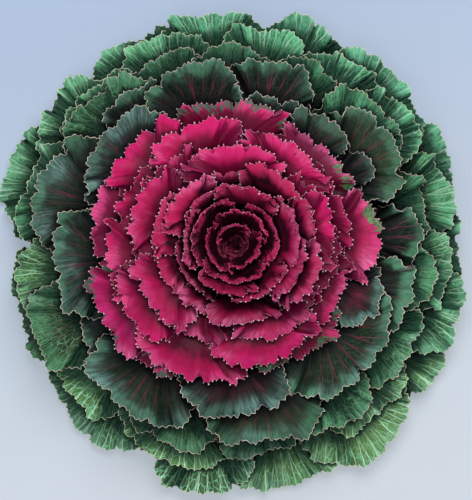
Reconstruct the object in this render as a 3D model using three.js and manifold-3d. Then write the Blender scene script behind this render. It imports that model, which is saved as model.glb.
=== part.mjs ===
// Ornamental kale head: a cut stem that carries rings of frilled leaves round a crowded magenta heart.
// Millimetres, +Z up. The origin is the centre of the stem's flat cut end, which the head stands on.
import * as THREE from "three";
import { mergeVertices } from "three/addons/utils/BufferGeometryUtils.js";
import Module from "manifold-3d";

const wasm = await Module();
wasm.setup();

// ---------------------------------------------------------------- driving dimensions
const stem = { cutRadius: 14.5, radius: 12, footHeight: 2, flareHeight: 4.5, sides: 24, colour: 0x9db07a };
const seat = 0.35; // gap between a leaf's stalk and the stem that bears it
const floorGap = 2.5; // lowest that a drooping leaf hangs over the ground
const leafGap = 0.7; // least height between a leaf and the leaves under it
const heartGap = 0.2; // the same among the heart's leaves, which are one body
const gridStep = 1; // spacing of the points at which leaves are laid on each other
const sunk = 2.2; // depth of a heart leaf's root inside the growing tip
const steepening = 2.2; // above 1 a leaf in the way grows steeper before its root goes higher
const searchDepth = 40; // how far below its highest place a root is tried
const searchStep = 0.5;
const tipStep = 0.5; // least height that the growing tip gains from one ring of the heart to the next
const tipPeak = 1; // height of the cone that ends the growing tip

const blade = {
  edge: 0.8, // thickness at the margin
  web: 0.9, // thickness half way in
  rib: 1.3, // thickness at the far end of the midrib
  ribGain: 0.3, // share of the stalk's depth that the midrib gains on the way in
  stalkSide: 0.5, // depth of the stalk's sides where the blade ends, as a share of its depth at the root
  stalkMiddle: 0.8, // the same along the middle of the stalk
  rootSide: 0.6, // the same for its sides at the root
  turnEnd: 2.62, // radians round from the tip to where the blade meets its stalk
  turnFade: 0.9, // radians over which the waves die out towards the stalk
  middleRow: 0.62, // where the row of points between midrib and margin lies
  ribReach: 0.8, // share of the blade's length that the midrib runs to
  ribCurl: 1.5, // above 1 the side veins lean further towards the tip
  crisp: 2.2, // above 1 the waves keep to the margin
  tilt: 3, // most that one side of a leaf stands above the other
  slowWave: [4.4, 5.8], // radians of wave for each radian round the margin
  fastWave: [7.4, 9.4],
  slowShare: 0.62, // share of the wave's height that the slow one has
};

// Rings from the lowest up. A leaf is [azimuth of its midrib, reach from the stem's axis, half of its
// spread], in degrees and millimetres. A ring's leaves are laid on in the order they are listed.
//   stalk   share of the leaf that is stalk, with its half width and its depth at the root
//   widestAt  share of the blade's length where it is widest
//   corner  below 1 the far end is blunter than an ellipse
//   rise    height that the midrib gains, climbing first and then lying open where flare is above 1
//   droop   fall towards the tip
//   ruffle, lobe, tooth   waves of the margin up and down, waves of it in and out, and its teeth
//   points  points of the margin, the middle row and the midrib on each side
const rings = [
  {
    name: "outer_leaf", colour: 0x4c9266, points: [10, 5, 3], widestAt: 0.58, corner: 0.75,
    root: stem.radius + seat, stalk: 0.3, stalkHalfWidth: 3.4, stalkDepth: 3.6,
    rise: 15, flare: 1.5, droop: 15, ruffle: 5.0, lobe: 3.6, tooth: 1.6,
    leaves: [
      [24, 147, 14], [71, 149, 13], [119, 148, 14], [161, 153, 16], [231, 154, 17], [282, 158, 15],
      [324, 153, 12], [358, 141, 14], [47, 148, 15], [97, 147, 15], [142, 149, 13], [199, 147, 16],
      [261, 161, 13], [304, 161, 13], [341, 151, 12],
    ],
  },
  {
    name: "green_leaf", colour: 0x3c7d52, points: [10, 5, 3], widestAt: 0.58, corner: 0.75,
    root: stem.radius + seat, stalk: 0.3, stalkHalfWidth: 3.4, stalkDepth: 3.6,
    rise: 16, flare: 1.5, droop: 11, ruffle: 4.8, lobe: 3.2, tooth: 1.6,
    leaves: [
      [14, 140, 13], [57, 137, 13], [112, 140, 14], [166, 139, 17], [224, 143, 13], [310, 142, 15],
      [352, 137, 12], [38, 137, 12], [82, 138, 13], [135, 135, 15], [191, 139, 12], [253, 144, 18],
    ],
  },
  {
    name: "inner_green_leaf", colour: 0x35694a, points: [11, 5, 4], widestAt: 0.58, corner: 0.75,
    root: stem.radius + seat, stalk: 0.28, stalkHalfWidth: 3.4, stalkDepth: 3.4,
    rise: 17, flare: 1.6, droop: 7, ruffle: 4.5, lobe: 3.0, tooth: 1.6,
    leaves: [
      [12, 122, 14], [67, 123, 12], [112, 127, 13], [206, 140, 14], [276, 135, 14], [326, 130, 16],
      [43, 124, 16], [92, 122, 15], [136, 130, 18], [251, 134, 15], [302, 132, 13], [349, 125, 12],
    ],
  },
  {
    name: "veined_leaf", colour: 0x3a5550, points: [12, 6, 4], widestAt: 0.58, corner: 0.75,
    root: stem.radius + seat, stalk: 0.26, stalkHalfWidth: 3.3, stalkDepth: 3.2,
    rise: 20, flare: 1.7, droop: 4, ruffle: 4.2, lobe: 3.2, tooth: 1.6,
    leaves: [
      [2, 114, 12], [127, 116, 13], [78, 115, 17], [164, 127, 21], [215, 111, 13], [280, 126, 20],
      [341, 114, 14], [35, 115, 19], [106, 113, 18], [188, 114, 21], [236, 124, 21], [315, 111, 26],
    ],
  },
  {
    name: "dark_leaf", colour: 0x33383c, points: [10, 5, 4], widestAt: 0.58, corner: 0.75,
    root: stem.radius + seat, stalk: 0.24, stalkHalfWidth: 3.1, stalkDepth: 3.0,
    rise: 24, flare: 1.8, droop: 1, ruffle: 3.8, lobe: 2.8, tooth: 1.6,
    leaves: [
      [74, 94, 13], [33, 96, 10], [142, 104, 24], [269, 106, 22], [337, 94, 16], [53, 95, 14],
    ],
  },
];

// The heart's rings are written in the same way. Their leaves grow out of one tapering tip.
const heart = { name: "magenta_heart", colour: 0xa81d5c, tipSides: 16 };
const heartRings = [
  {
    root: 9.8, stalk: 0.22, stalkHalfWidth: 2.9, stalkDepth: 2.8, points: [8, 3, 2],
    widestAt: 0.62, corner: 0.65, rise: 30, flare: 2.0, droop: 0, ruffle: 3.8, lobe: 2.8, tooth: 2.2,
    leaves: [
      [45, 82, 21], [94, 87, 24], [168, 88, 19], [233, 95, 14], [303, 86, 22], [3, 89, 22],
      [136, 89, 18], [211, 96, 18],
    ],
  },
  {
    root: 9.2, stalk: 0.2, stalkHalfWidth: 2.7, stalkDepth: 2.6, points: [8, 3, 2],
    widestAt: 0.64, corner: 0.6, rise: 34, flare: 1.9, droop: 0, ruffle: 3.4, lobe: 2.6, tooth: 2.2,
    leaves: [
      [21, 71, 22], [146, 74, 22], [190, 80, 18], [247, 87, 22], [325, 74, 23], [59, 68, 24],
      [112, 77, 20], [214, 78, 18], [287, 76, 24],
    ],
  },
  {
    root: 8.2, stalk: 0.18, stalkHalfWidth: 2.5, stalkDepth: 2.4, points: [7, 3, 2],
    widestAt: 0.66, corner: 0.55, rise: 37, flare: 1.7, droop: 0, ruffle: 2.8, lobe: 2.4, tooth: 2.2,
    leaves: [
      [30, 57, 16], [184, 61, 17], [134, 66, 16], [241, 64, 19], [346, 62, 19], [8, 60, 20],
      [93, 58, 27], [159, 64, 22], [214, 65, 20], [300, 60, 24],
    ],
  },
  {
    root: 6.8, stalk: 0.16, stalkHalfWidth: 2.3, stalkDepth: 2.1, points: [6, 3, 2],
    widestAt: 0.68, corner: 0.5, rise: 40, flare: 1.4, droop: 0, ruffle: 2.2, lobe: 2.1, tooth: 2.0,
    leaves: [
      [48, 49, 30], [12, 48, 20], [196, 49, 20], [248, 48, 22], [333, 51, 22], [104, 42, 24],
      [165, 50, 20], [277, 50, 24], [141, 45, 25],
    ],
  },
  {
    root: 5.2, stalk: 0.12, stalkHalfWidth: 2.0, stalkDepth: 1.8, points: [7, 2, 2],
    widestAt: 0.7, corner: 0.45, rise: 40, flare: 1.0, droop: 0, ruffle: 1.6, lobe: 1.6, tooth: 1.8,
    leaves: [
      [333, 41, 26], [214, 36, 32], [12, 37, 32], [120, 34, 32], [75, 33, 34], [300, 34, 32],
      [175, 31, 32], [258, 30, 32],
    ],
  },
  {
    root: 2.6, stalk: 0.08, stalkHalfWidth: 1.4, stalkDepth: 1.4, points: [6, 2, 2],
    widestAt: 0.72, corner: 0.4, rise: 38, flare: 0.75, droop: 0, ruffle: 1.0, lobe: 1.0, tooth: 1.4,
    leaves: [
      [155, 25, 62], [265, 23, 58], [20, 24, 56], [65, 18, 66], [200, 17, 66], [320, 14, 70],
      [110, 10, 75],
    ],
  },
];

// ---------------------------------------------------------------- one leaf
const radians = THREE.MathUtils.degToRad;

// A number from 0 to 1 that belongs to a leaf and a purpose.
function draw(seed, purpose) {
  const s = Math.sin(seed * 12.9898 + purpose * 78.233) * 43758.5453;
  return s - Math.floor(s);
}

function leafOf(ring, [azimuth, reach, halfSpread], seed) {
  const stalkEnd = ring.root + ring.stalk * (reach - ring.root);
  const between = ([low, high], purpose) => low + (high - low) * draw(seed, purpose);
  return {
    ...ring,
    azimuth: radians(azimuth),
    reach,
    spread: radians(halfSpread),
    stalkEnd,
    widest: stalkEnd + ring.widestAt * (reach - stalkEnd),
    slow: between(blade.slowWave, 1),
    fast: between(blade.fastWave, 2),
    phases: [3, 4, 5, 6].map((purpose) => 2 * Math.PI * draw(seed, purpose)),
    tilt: blade.tilt * (draw(seed, 7) - 0.5),
  };
}

// How far out along the leaf a distance from the axis is, and what share of its rise it has there.
const alongLeaf = (leaf, distance) => (distance - leaf.root) / (leaf.reach - leaf.root);
const risen = (leaf, distance) => 1 - Math.max(0, 1 - alongLeaf(leaf, distance)) ** leaf.flare;

// Height of the open blade over its root at a distance from the axis, without its waves.
function profile(leaf, distance) {
  return leaf.rise * risen(leaf, distance) - leaf.droop * alongLeaf(leaf, distance) ** 3;
}

// From -1 to 1, a slow and a fast wave round the margin.
function wave(leaf, turn, slowPhase, fastPhase) {
  const slow = Math.sin(leaf.slow * turn + slowPhase);
  const fast = Math.sin(leaf.fast * turn + fastPhase);
  return blade.slowShare * slow + (1 - blade.slowShare) * fast;
}

// turn goes round the blade from its tip, 0, to its stalk, and is negative on one side of the midrib.
// out goes from the midrib, 0, to the margin, 1. The leaf's root is at height 0.
function bladePoint(leaf, turn, out, tooth = 0) {
  const round = Math.abs(turn);
  const farHalf = round < Math.PI / 2;
  const length = farHalf ? leaf.reach - leaf.widest : leaf.widest - leaf.stalkEnd;
  const along = farHalf ? Math.cos(round) ** leaf.corner : Math.cos(round);
  const across = farHalf ? Math.sin(round) ** leaf.corner : Math.sin(round);
  const fade = Math.min(1, Math.max(0, (blade.turnEnd - round) / blade.turnFade));
  const [upSlow, upFast, outSlow, outFast] = leaf.phases;
  const scallop = leaf.lobe * wave(leaf, turn, outSlow, outFast) + tooth;
  const margin = leaf.widest + length * along + fade * scallop;
  const bladeLength = leaf.reach - leaf.stalkEnd;
  const ribPoint = leaf.stalkEnd + blade.ribReach * bladeLength * Math.cos(round / 2) ** blade.ribCurl;
  const distance = ribPoint + (margin - ribPoint) * out;
  const side = Math.sign(turn) * across * out;
  const lift = leaf.ruffle * fade * out ** blade.crisp * wave(leaf, turn, upSlow, upFast);
  return polar(leaf, distance, leaf.spread * side, profile(leaf, distance) + lift + leaf.tilt * side);
}

function stalkPoint(leaf, distance, halfWidth) {
  return polar(leaf, distance, halfWidth / distance, profile(leaf, distance));
}

function polar(leaf, distance, swing, height) {
  const angle = leaf.azimuth + swing;
  return new THREE.Vector3(distance * Math.cos(angle), distance * Math.sin(angle), height);
}

// Triangles between two rows of points that need not hold the same number.
function zip(outer, inner) {
  const faces = [];
  let i = 0;
  let j = 0;
  while (i < outer.length - 1 || j < inner.length - 1) {
    const outerIsBehind = (i + 1) / (outer.length - 1) <= (j + 1) / (inner.length - 1);
    if (j === inner.length - 1 || (outerIsBehind && i < outer.length - 1)) {
      faces.push([outer[i], outer[i + 1], inner[j]]);
      i += 1;
    } else {
      faces.push([outer[i], inner[j + 1], inner[j]]);
      j += 1;
    }
  }
  return faces;
}

// The leaf as a closed solid: an upper face, a lower face split alike, and the rim between them.
function leafSolid(leaf) {
  const [marginCount, middleCount, ribCount] = leaf.points;
  const top = [];
  const thickness = [];
  const add = (point, depth) => {
    thickness.push(depth);
    return top.push(point) - 1;
  };
  const turnAt = (k, count) => (blade.turnEnd * k) / count;
  const tip = add(bladePoint(leaf, 0, 1, leaf.tooth / 2), blade.edge);
  const middleTip = add(bladePoint(leaf, 0, blade.middleRow), blade.web);
  const rib = [];
  for (let k = 0; k <= ribCount; k += 1) {
    const depth = blade.rib + (k / ribCount) * blade.ribGain * leaf.stalkDepth;
    rib.push(add(bladePoint(leaf, turnAt(k, ribCount), 0), depth));
  }
  const stalkEnd = add(stalkPoint(leaf, leaf.stalkEnd, 0), leaf.stalkDepth * blade.stalkMiddle);
  const root = add(stalkPoint(leaf, leaf.root, 0), leaf.stalkDepth);

  const faces = [];
  const rim = [];
  for (const side of [1, -1]) {
    const margin = [tip];
    for (let k = 1; k <= marginCount; k += 1) {
      const tooth = (k % 2 ? -0.5 : 0.5) * leaf.tooth;
      margin.push(add(bladePoint(leaf, side * turnAt(k, marginCount), 1, tooth), blade.edge));
    }
    const middle = [middleTip];
    for (let k = 1; k <= middleCount; k += 1) {
      middle.push(add(bladePoint(leaf, side * turnAt(k, middleCount), blade.middleRow), blade.web));
    }
    const halfWidth = side * leaf.stalkHalfWidth;
    const stalkSide = add(stalkPoint(leaf, leaf.stalkEnd, halfWidth), leaf.stalkDepth * blade.stalkSide);
    const rootSide = add(stalkPoint(leaf, leaf.root, halfWidth), leaf.stalkDepth * blade.rootSide);
    const inner = middle[middleCount];
    const half = [
      ...zip(margin, middle),
      ...zip(middle, rib),
      [margin[marginCount], stalkSide, inner],
      [inner, stalkSide, stalkEnd],
      [inner, stalkEnd, rib[ribCount]],
      [stalkSide, rootSide, root],
      [stalkSide, root, stalkEnd],
    ];
    for (const [a, b, c] of half) faces.push(side > 0 ? [a, b, c] : [a, c, b]);
    const edge = [...margin, stalkSide, rootSide, root];
    for (let k = 1; k < edge.length; k += 1) {
      rim.push(side > 0 ? [edge[k - 1], edge[k]] : [edge[k], edge[k - 1]]);
    }
  }

  // The lower face lies a thickness under the upper one: square to it, but straight down at the root.
  const normals = top.map(() => new THREE.Vector3());
  for (const [a, b, c] of faces) {
    const normal = top[b].clone().sub(top[a]).cross(top[c].clone().sub(top[a]));
    for (const corner of [a, b, c]) normals[corner].add(normal);
  }
  const up = new THREE.Vector3(0, 0, 1);
  const bottom = top.map((point, i) => {
    const atRoot = Math.hypot(point.x, point.y) < leaf.root + 0.01;
    return point.clone().addScaledVector(atRoot ? up : normals[i].normalize(), -thickness[i]);
  });
  const under = top.length;
  const closed = [];
  for (const [a, b, c] of faces) closed.push([a, b, c], [under + c, under + b, under + a]);
  for (const [a, b] of rim) closed.push([b, a, under + a], [b, under + a, under + b]);
  return { points: [...top, ...bottom], faces: closed };
}

// ---------------------------------------------------------------- laying the leaves on each other
const pile = new Map(); // height of what already lies at each grid point
const keyOf = (i, j) => i * 1000 + j;
const withNeighbours = [[0, 0], [1, 0], [-1, 0], [0, 1], [0, -1]];
const alone = [[0, 0]];

// Calls visit with the grid indices and the height of each grid point on the triangles.
function overGrid({ points, faces }, visit) {
  for (const face of faces) {
    const [a, b, c] = face.map((i) => points[i]);
    const area = (b.x - a.x) * (c.y - a.y) - (c.x - a.x) * (b.y - a.y);
    if (Math.abs(area) < 1e-9) continue;
    const from = (p) => Math.ceil(Math.min(a[p], b[p], c[p]) / gridStep);
    const to = (p) => Math.floor(Math.max(a[p], b[p], c[p]) / gridStep);
    for (let i = from("x"); i <= to("x"); i += 1) {
      for (let j = from("y"); j <= to("y"); j += 1) {
        const x = i * gridStep;
        const y = j * gridStep;
        const u = ((x - a.x) * (c.y - a.y) - (c.x - a.x) * (y - a.y)) / area;
        const v = ((b.x - a.x) * (y - a.y) - (x - a.x) * (b.y - a.y)) / area;
        if (u >= 0 && v >= 0 && u + v <= 1) visit(i, j, a.z + u * (b.z - a.z) + v * (c.z - a.z));
      }
    }
  }
}

// For each grid point on the leaf: the share of its rise it has there, and how much higher it must go.
function shortfalls(leaf, gap) {
  const found = [];
  overGrid(leafSolid(leaf), (i, j, height) => {
    const distance = Math.hypot(i, j) * gridStep;
    const ground = distance < stem.cutRadius + gridStep ? stem.flareHeight : floorGap - gap;
    const lacks = (pile.get(keyOf(i, j)) ?? ground) + gap - height;
    found.push({ share: Math.max(1e-3, risen(leaf, distance)), lacks });
  });
  return found;
}

// Steepens and lifts the leaf until it clears all that lies under it, and adds it to the pile.
function layOn(leaf, gap, reachOut) {
  const found = shortfalls(leaf, gap);
  const highest = Math.max(...found.map(({ lacks }) => lacks));
  let best = { cost: Infinity };
  for (let rootHeight = highest; rootHeight > highest - searchDepth; rootHeight -= searchStep) {
    const extra = Math.max(...found.map(({ share, lacks }) => Math.max(0, lacks - rootHeight) / share));
    const cost = steepening * rootHeight + extra;
    if (cost < best.cost) best = { cost, extra };
  }
  leaf.rise += best.extra;
  const rootHeight = Math.max(...shortfalls(leaf, gap).map(({ lacks }) => lacks));
  const solid = leafSolid(leaf);
  for (const point of solid.points) point.z += rootHeight;
  overGrid(solid, (i, j, height) => {
    for (const [di, dj] of reachOut) {
      const key = keyOf(i + di, j + dj);
      pile.set(key, Math.max(pile.get(key) ?? 0, height));
    }
  });
  return { ...solid, rootHeight };
}

// ---------------------------------------------------------------- solids and meshes
function leafGeometry({ points, faces }) {
  const positions = points.flatMap((point) => point.toArray());
  const geometry = new THREE.BufferGeometry();
  geometry.setAttribute("position", new THREE.Float32BufferAttribute(positions, 3));
  geometry.setIndex(faces.flat());
  return geometry;
}

function lathe(outline, sides) {
  const points = outline.map(([radius, height]) => new THREE.Vector2(radius, height));
  const geometry = new THREE.LatheGeometry(points, sides);
  geometry.rotateX(Math.PI / 2); // the lathe turns about Y, and the stem stands along Z
  return geometry;
}

function manifoldOf(geometry) {
  const bare = geometry.clone();
  bare.deleteAttribute("normal");
  bare.deleteAttribute("uv");
  const merged = mergeVertices(bare, 1e-4);
  const vertProperties = new Float32Array(merged.attributes.position.array);
  const triVerts = new Uint32Array(merged.index.array);
  return new wasm.Manifold(new wasm.Mesh({ numProp: 3, vertProperties, triVerts }));
}

function geometryOf(manifold) {
  const { vertProperties, triVerts } = manifold.getMesh();
  const geometry = new THREE.BufferGeometry();
  geometry.setAttribute("position", new THREE.Float32BufferAttribute(vertProperties, 3));
  geometry.setIndex([...triVerts]);
  return geometry;
}

function meshOf(name, geometry, colour) {
  geometry.computeVertexNormals();
  const material = new THREE.MeshStandardMaterial({ color: colour, roughness: 0.55, metalness: 0 });
  const mesh = new THREE.Mesh(geometry, material);
  mesh.name = name;
  return mesh;
}

// ---------------------------------------------------------------- the plant
const kale = new THREE.Group();
let seed = 0;
for (const ring of rings) {
  ring.leaves.forEach((row, i) => {
    seed += 1;
    const number = String(i + 1).padStart(2, "0");
    const solid = layOn(leafOf(ring, row, seed), leafGap, withNeighbours);
    kale.add(meshOf(`${ring.name}_${number}`, leafGeometry(solid), ring.colour));
  });
}

// The growing tip is as wide, up to each ring's highest root, as that ring's roots need.
const heartLeaves = [];
const tipOutline = [];
for (const ring of heartRings) {
  const rootHeights = ring.leaves.map((row) => {
    seed += 1;
    const solid = layOn(leafOf(ring, row, seed), heartGap, alone);
    heartLeaves.push(manifoldOf(leafGeometry(solid)));
    return solid.rootHeight;
  });
  const tipRadius = ring.root + sunk;
  if (!tipOutline.length) {
    const tipBottom = Math.min(...rootHeights) - ring.stalkDepth;
    tipOutline.push([0, tipBottom], [tipRadius, tipBottom]);
  }
  const reached = tipOutline.at(-1)[1];
  tipOutline.push([tipRadius, Math.max(reached + tipStep, ...rootHeights)]);
}
tipOutline.push([0, tipOutline.at(-1)[1] + tipPeak]);
const growingTip = manifoldOf(lathe(tipOutline, heart.tipSides));
const heartSolid = heartLeaves.reduce((all, leaf) => all.add(leaf), growingTip);
kale.add(meshOf(heart.name, geometryOf(heartSolid), heart.colour));

const stemTop = tipOutline[0][1] - seat;
const stemOutline = [
  [0, 0],
  [stem.cutRadius, 0],
  [stem.cutRadius, stem.footHeight],
  [stem.radius, stem.flareHeight],
  [stem.radius, stemTop],
  [0, stemTop],
];
kale.add(meshOf("stem", lathe(stemOutline, stem.sides), stem.colour));

export default kale;
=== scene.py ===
import math

import bpy
import numpy as np
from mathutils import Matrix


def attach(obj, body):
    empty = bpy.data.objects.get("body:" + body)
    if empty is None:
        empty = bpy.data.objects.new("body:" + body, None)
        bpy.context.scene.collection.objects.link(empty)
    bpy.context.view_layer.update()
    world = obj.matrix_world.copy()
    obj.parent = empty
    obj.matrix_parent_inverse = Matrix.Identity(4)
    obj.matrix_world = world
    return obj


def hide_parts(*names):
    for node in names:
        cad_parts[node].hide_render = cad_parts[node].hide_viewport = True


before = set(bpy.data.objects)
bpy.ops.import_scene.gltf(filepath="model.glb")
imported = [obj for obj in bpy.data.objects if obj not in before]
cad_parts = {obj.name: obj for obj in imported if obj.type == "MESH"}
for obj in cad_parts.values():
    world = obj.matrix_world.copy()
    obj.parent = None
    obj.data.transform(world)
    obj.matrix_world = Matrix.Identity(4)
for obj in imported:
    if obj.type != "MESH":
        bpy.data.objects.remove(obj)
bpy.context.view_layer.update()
print("frame loaded:", len(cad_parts), "nodes")

mm = 0.001  # lengths in the tables and in the leaf code are millimetres

# What all leaves share. turn goes round a blade from its tip to its stalk, out goes from midrib to margin.
blade = {
    "turnEnd": 2.62, "turnFade": 0.9, "middleRow": 0.62, "ribReach": 0.8, "ribCurl": 1.5,
    "crisp": 2.2, "tilt": 3.0, "slowWave": (4.4, 5.8), "fastWave": (7.4, 9.4), "slowShare": 0.62,
    "fanReach": 0.42,  # where the side veins start to fan out, from 0 at the stalk to 1 at the tip
    "ribSpread": 0.12,  # keeps the side veins apart where they leave the far end of the midrib
    "rows": (0, 0.05, 0.12, 0.22, 0.33, 0.44, 0.54, 0.63, 0.71, 0.78, 0.84, 0.89, 0.93, 0.96, 0.985, 1.0),
    # columns from one point of a row to the next, row by row, on the upper and on the lower face
    "strides": ((4,) * 5 + (2,) * 4 + (1,) * 7, (4,) * 5 + (2,) * 7 + (1,) * 4),
    "stalkColumns": 5,
    "rootInside": 1.0,  # how far a stalk runs into what carries it
    "crimpPitch": 5.3, "thickInside": 0.35, "sideRib": 0.35, "sideRibWidth": 0.7, "tipRibWidth": 0.8,
    "toothSeen": 0.5,  # how high a tooth is when its point gets a bead
    "plainColumns": 8,  # columns of the blade, nearest its stalk, without beads
    "calmTurn": 0.7,  # over this last part of the turn, notches, teeth and frills fade out
    "otherSide": 500,  # shifts the teeth of one side, so that the two sides differ
    "between": (0.33, 0.68),  # two columns that lead from the blade over to the stalk
}

# The rings of leaves from the lowest up, a column of values for each ring of ringLeaves
ringTable = {
    "node": ("outer_leaf", "green_leaf", "inner_green_leaf", "veined_leaf", "dark_leaf")
    + ("magenta_heart",) * 6,
    "slot": ("green_leaf",) * 3 + ("dark_leaf",) * 2 + ("magenta_leaf",) * 6,
    "look": ("outer", "green", "innerGreen", "veined", "dark")
    + ("magenta",) * 3 + ("inner",) * 2 + ("core",),
    # the leaf as the frame has it: stalk, blade and corners
    "root": (12.35,) * 5 + (9.8, 9.2, 8.2, 6.8, 5.2, 2.6),
    "stalk": (0.3, 0.3, 0.28, 0.26, 0.24, 0.22, 0.2, 0.18, 0.16, 0.12, 0.08),
    "halfWidth": (3.4, 3.4, 3.4, 3.3, 3.1, 2.9, 2.7, 2.5, 2.3, 2.0, 1.4),
    "depth": (3.6, 3.6, 3.4, 3.2, 3.0, 2.8, 2.6, 2.4, 2.1, 1.8, 1.4),
    "widestAt": (0.58,) * 5 + (0.62, 0.64, 0.66, 0.68, 0.7, 0.72),
    "corner": (0.75,) * 5 + (0.65, 0.6, 0.55, 0.5, 0.45, 0.4),
    "points": ((10, 5, 3), (10, 5, 3), (11, 5, 4), (12, 6, 4), (10, 5, 4), (8, 3, 2), (8, 3, 2), (7, 3, 2),
        (6, 3, 2), (7, 2, 2), (6, 2, 2)),
    # how it bends and waves
    "flare": (1.5, 1.5, 1.6, 1.7, 1.8, 2.0, 1.9, 1.7, 1.4, 1.0, 0.75),
    "droop": (15, 11, 7, 4, 1) + (0,) * 6,
    "ruffle": (5.0, 4.8, 4.5, 4.2, 3.8, 3.8, 3.4, 2.8, 2.2, 1.6, 1.0),
    "lobe": (3.6, 3.2, 3.0, 3.2, 2.8, 2.8, 2.6, 2.4, 2.1, 1.6, 1.0),
    "tooth": (1.6, 1.6, 1.6, 1.6, 1.6, 2.2, 2.2, 2.2, 2.0, 1.8, 1.4),
    # what is finer here: pleats between the side veins, and frills, notches and teeth at the margin
    "widen": (1.12, 1.08, 1.0, 1.0, 1.0, 1.21, 1.27, 1.33, 1.25, 1.15, 1.0),  # times its spread
    "squarer": (1.0, 0.92, 0.86, 0.8, 0.8, 0.74, 0.72, 0.72, 0.74, 0.85, 1.0),  # times its corner
    "veinPitch": (9.5, 9.0, 8.5, 9.5, 9, 8, 8, 7.5, 7, 6, 5),
    "pleat": (0.8, 0.75, 0.5, 0.4, 0.35) + (0,) * 6,
    "frill": (2.2, 2.2, 2.2, 2.2, 2.0, 1.4, 1.4, 1.3, 1.2, 1.1, 0.9),
    "frillPitch": (23, 21, 22, 23, 21, 25, 24, 21, 18, 16, 13),
    "fineFrill": (0.35, 0.35, 0.25, 0.2, 0.2, 0.1, 0.1, 0.12, 0.12, 0.12, 0.15),
    "frillKeep": (3, 3, 3, 3.4, 3.4, 4.5, 4.5, 4.5, 4, 3.5, 3),
    "crimp": (0.6, 0.6, 0.55, 0.5, 0.5, 0.35, 0.3, 0.3, 0.28, 0.25, 0.2),
    "notch": (3.2, 3.2, 3.4, 4.6, 4.6, 5.0, 4.9, 4.4, 3.6, 2.4, 1.3),
    "notchPitch": (12.5, 12, 14, 16, 15, 13, 12.5, 11.5, 10, 8.5, 7),
    "toothDepth": (1.3, 1.3, 1.5, 1.7, 1.8, 1.7, 1.7, 1.6, 1.4, 1.1, 0.75),
    "toothPitch": (3.6, 3.6, 3.7, 3.8, 3.7, 3.0, 3.0, 2.9, 2.8, 2.6, 2.3),
    "curl": (0,) * 5 + (-0.6,) * 4 + (-0.5, -0.4),
    "flip": (0,) * 5 + (0.3, 0.5, 0.9, 1.3, 1.9, 1.5),
    "edge": (0.5,) * 10 + (0.45,),
    "step": (0.85,) * 5 + (0.76, 0.76, 0.73, 0.66, 0.62, 0.55),
    "finePart": (62, 60, 58, 56, 52, 50, 48, 46, 44, 40, 36),
}
# The leaves of each ring: azimuth, reach from the axis, and half of the spread
ringLeaves = {
    "outer": [(24, 147, 14), (71, 149, 13), (119, 148, 14), (161, 153, 16), (231, 154, 17), (282, 158, 15),
        (324, 153, 12), (358, 141, 14), (47, 148, 15), (97, 147, 15), (142, 149, 13), (199, 147, 16),
        (261, 161, 13), (304, 161, 13), (341, 151, 12)],
    "green": [(14, 140, 13), (57, 137, 13), (112, 140, 14), (166, 139, 17), (224, 143, 13), (310, 142, 15),
        (352, 137, 12), (38, 137, 12), (82, 138, 13), (135, 135, 15), (191, 139, 12), (253, 144, 18)],
    "innerGreen": [(12, 122, 14), (67, 123, 12), (112, 127, 13), (206, 140, 14), (276, 135, 14),
        (326, 130, 16), (43, 124, 16), (92, 122, 15), (136, 130, 18), (251, 134, 15), (302, 132, 13),
        (349, 125, 12)],
    "veined": [(2, 114, 12), (127, 116, 13), (78, 115, 17), (164, 127, 21), (215, 111, 13), (280, 126, 20),
        (341, 114, 14), (35, 115, 19), (106, 113, 18), (188, 114, 21), (236, 124, 21), (315, 111, 26)],
    "dark": [(74, 94, 13), (33, 96, 10), (142, 104, 24), (269, 106, 22), (337, 94, 16), (53, 95, 14)],
    "heart1": [(45, 82, 21), (94, 87, 24), (168, 88, 19), (233, 95, 14), (303, 86, 22), (3, 89, 22),
        (136, 89, 18), (211, 96, 18)],
    "heart2": [(21, 71, 22), (146, 74, 22), (190, 80, 18), (247, 87, 22), (325, 74, 23), (59, 68, 24),
        (112, 77, 20), (214, 78, 18), (287, 76, 24)],
    "heart3": [(30, 57, 16), (184, 61, 17), (134, 66, 16), (241, 64, 19), (346, 62, 19), (8, 60, 20),
        (93, 58, 27), (159, 64, 22), (214, 65, 20), (300, 60, 24)],
    "heart4": [(48, 49, 30), (12, 48, 20), (196, 49, 20), (248, 48, 22), (333, 51, 22), (104, 42, 24),
        (165, 50, 20), (277, 50, 24), (141, 45, 25)],
    "heart5": [(333, 41, 26), (214, 36, 32), (12, 37, 32), (120, 34, 32), (75, 33, 34), (300, 34, 32),
        (175, 31, 32), (258, 30, 32)],
    "heart6": [(155, 25, 62), (265, 23, 58), (20, 24, 56), (65, 18, 66), (200, 17, 66), (320, 14, 70),
        (110, 10, 75)],
}


def draw(seed, purpose):  # a number from 0 to 1 that belongs to a leaf and a purpose
    s = math.sin(seed * 12.9898 + purpose * 78.233) * 43758.5453
    return s - math.floor(s)


def smooth(low, high, x):
    t = np.clip((x - low) / (high - low), 0, 1)
    return t * t * (3 - 2 * t)


def leafOf(ring, row, seed):
    azimuth, reach, halfSpread = row
    leaf = dict(ring, seed=seed, reach=reach, own=oneLeaf.get((ring["name"], azimuth), {}))
    leaf["azimuth"] = math.radians(azimuth)
    leaf["spread"] = math.radians(halfSpread)
    leaf["stalkEnd"] = ring["root"] + ring["stalk"] * (reach - ring["root"])
    leaf["widest"] = leaf["stalkEnd"] + ring["widestAt"] * (reach - leaf["stalkEnd"])
    for key, purpose in (("slowWave", 1), ("fastWave", 2)):
        low, high = blade[key]
        leaf[key] = low + (high - low) * draw(seed, purpose)
    leaf["phases"] = [2 * math.pi * draw(seed, purpose) for purpose in (3, 4, 5, 6)]
    leaf["tilt"] = blade["tilt"] * (draw(seed, 7) - 0.5)
    return leaf


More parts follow.
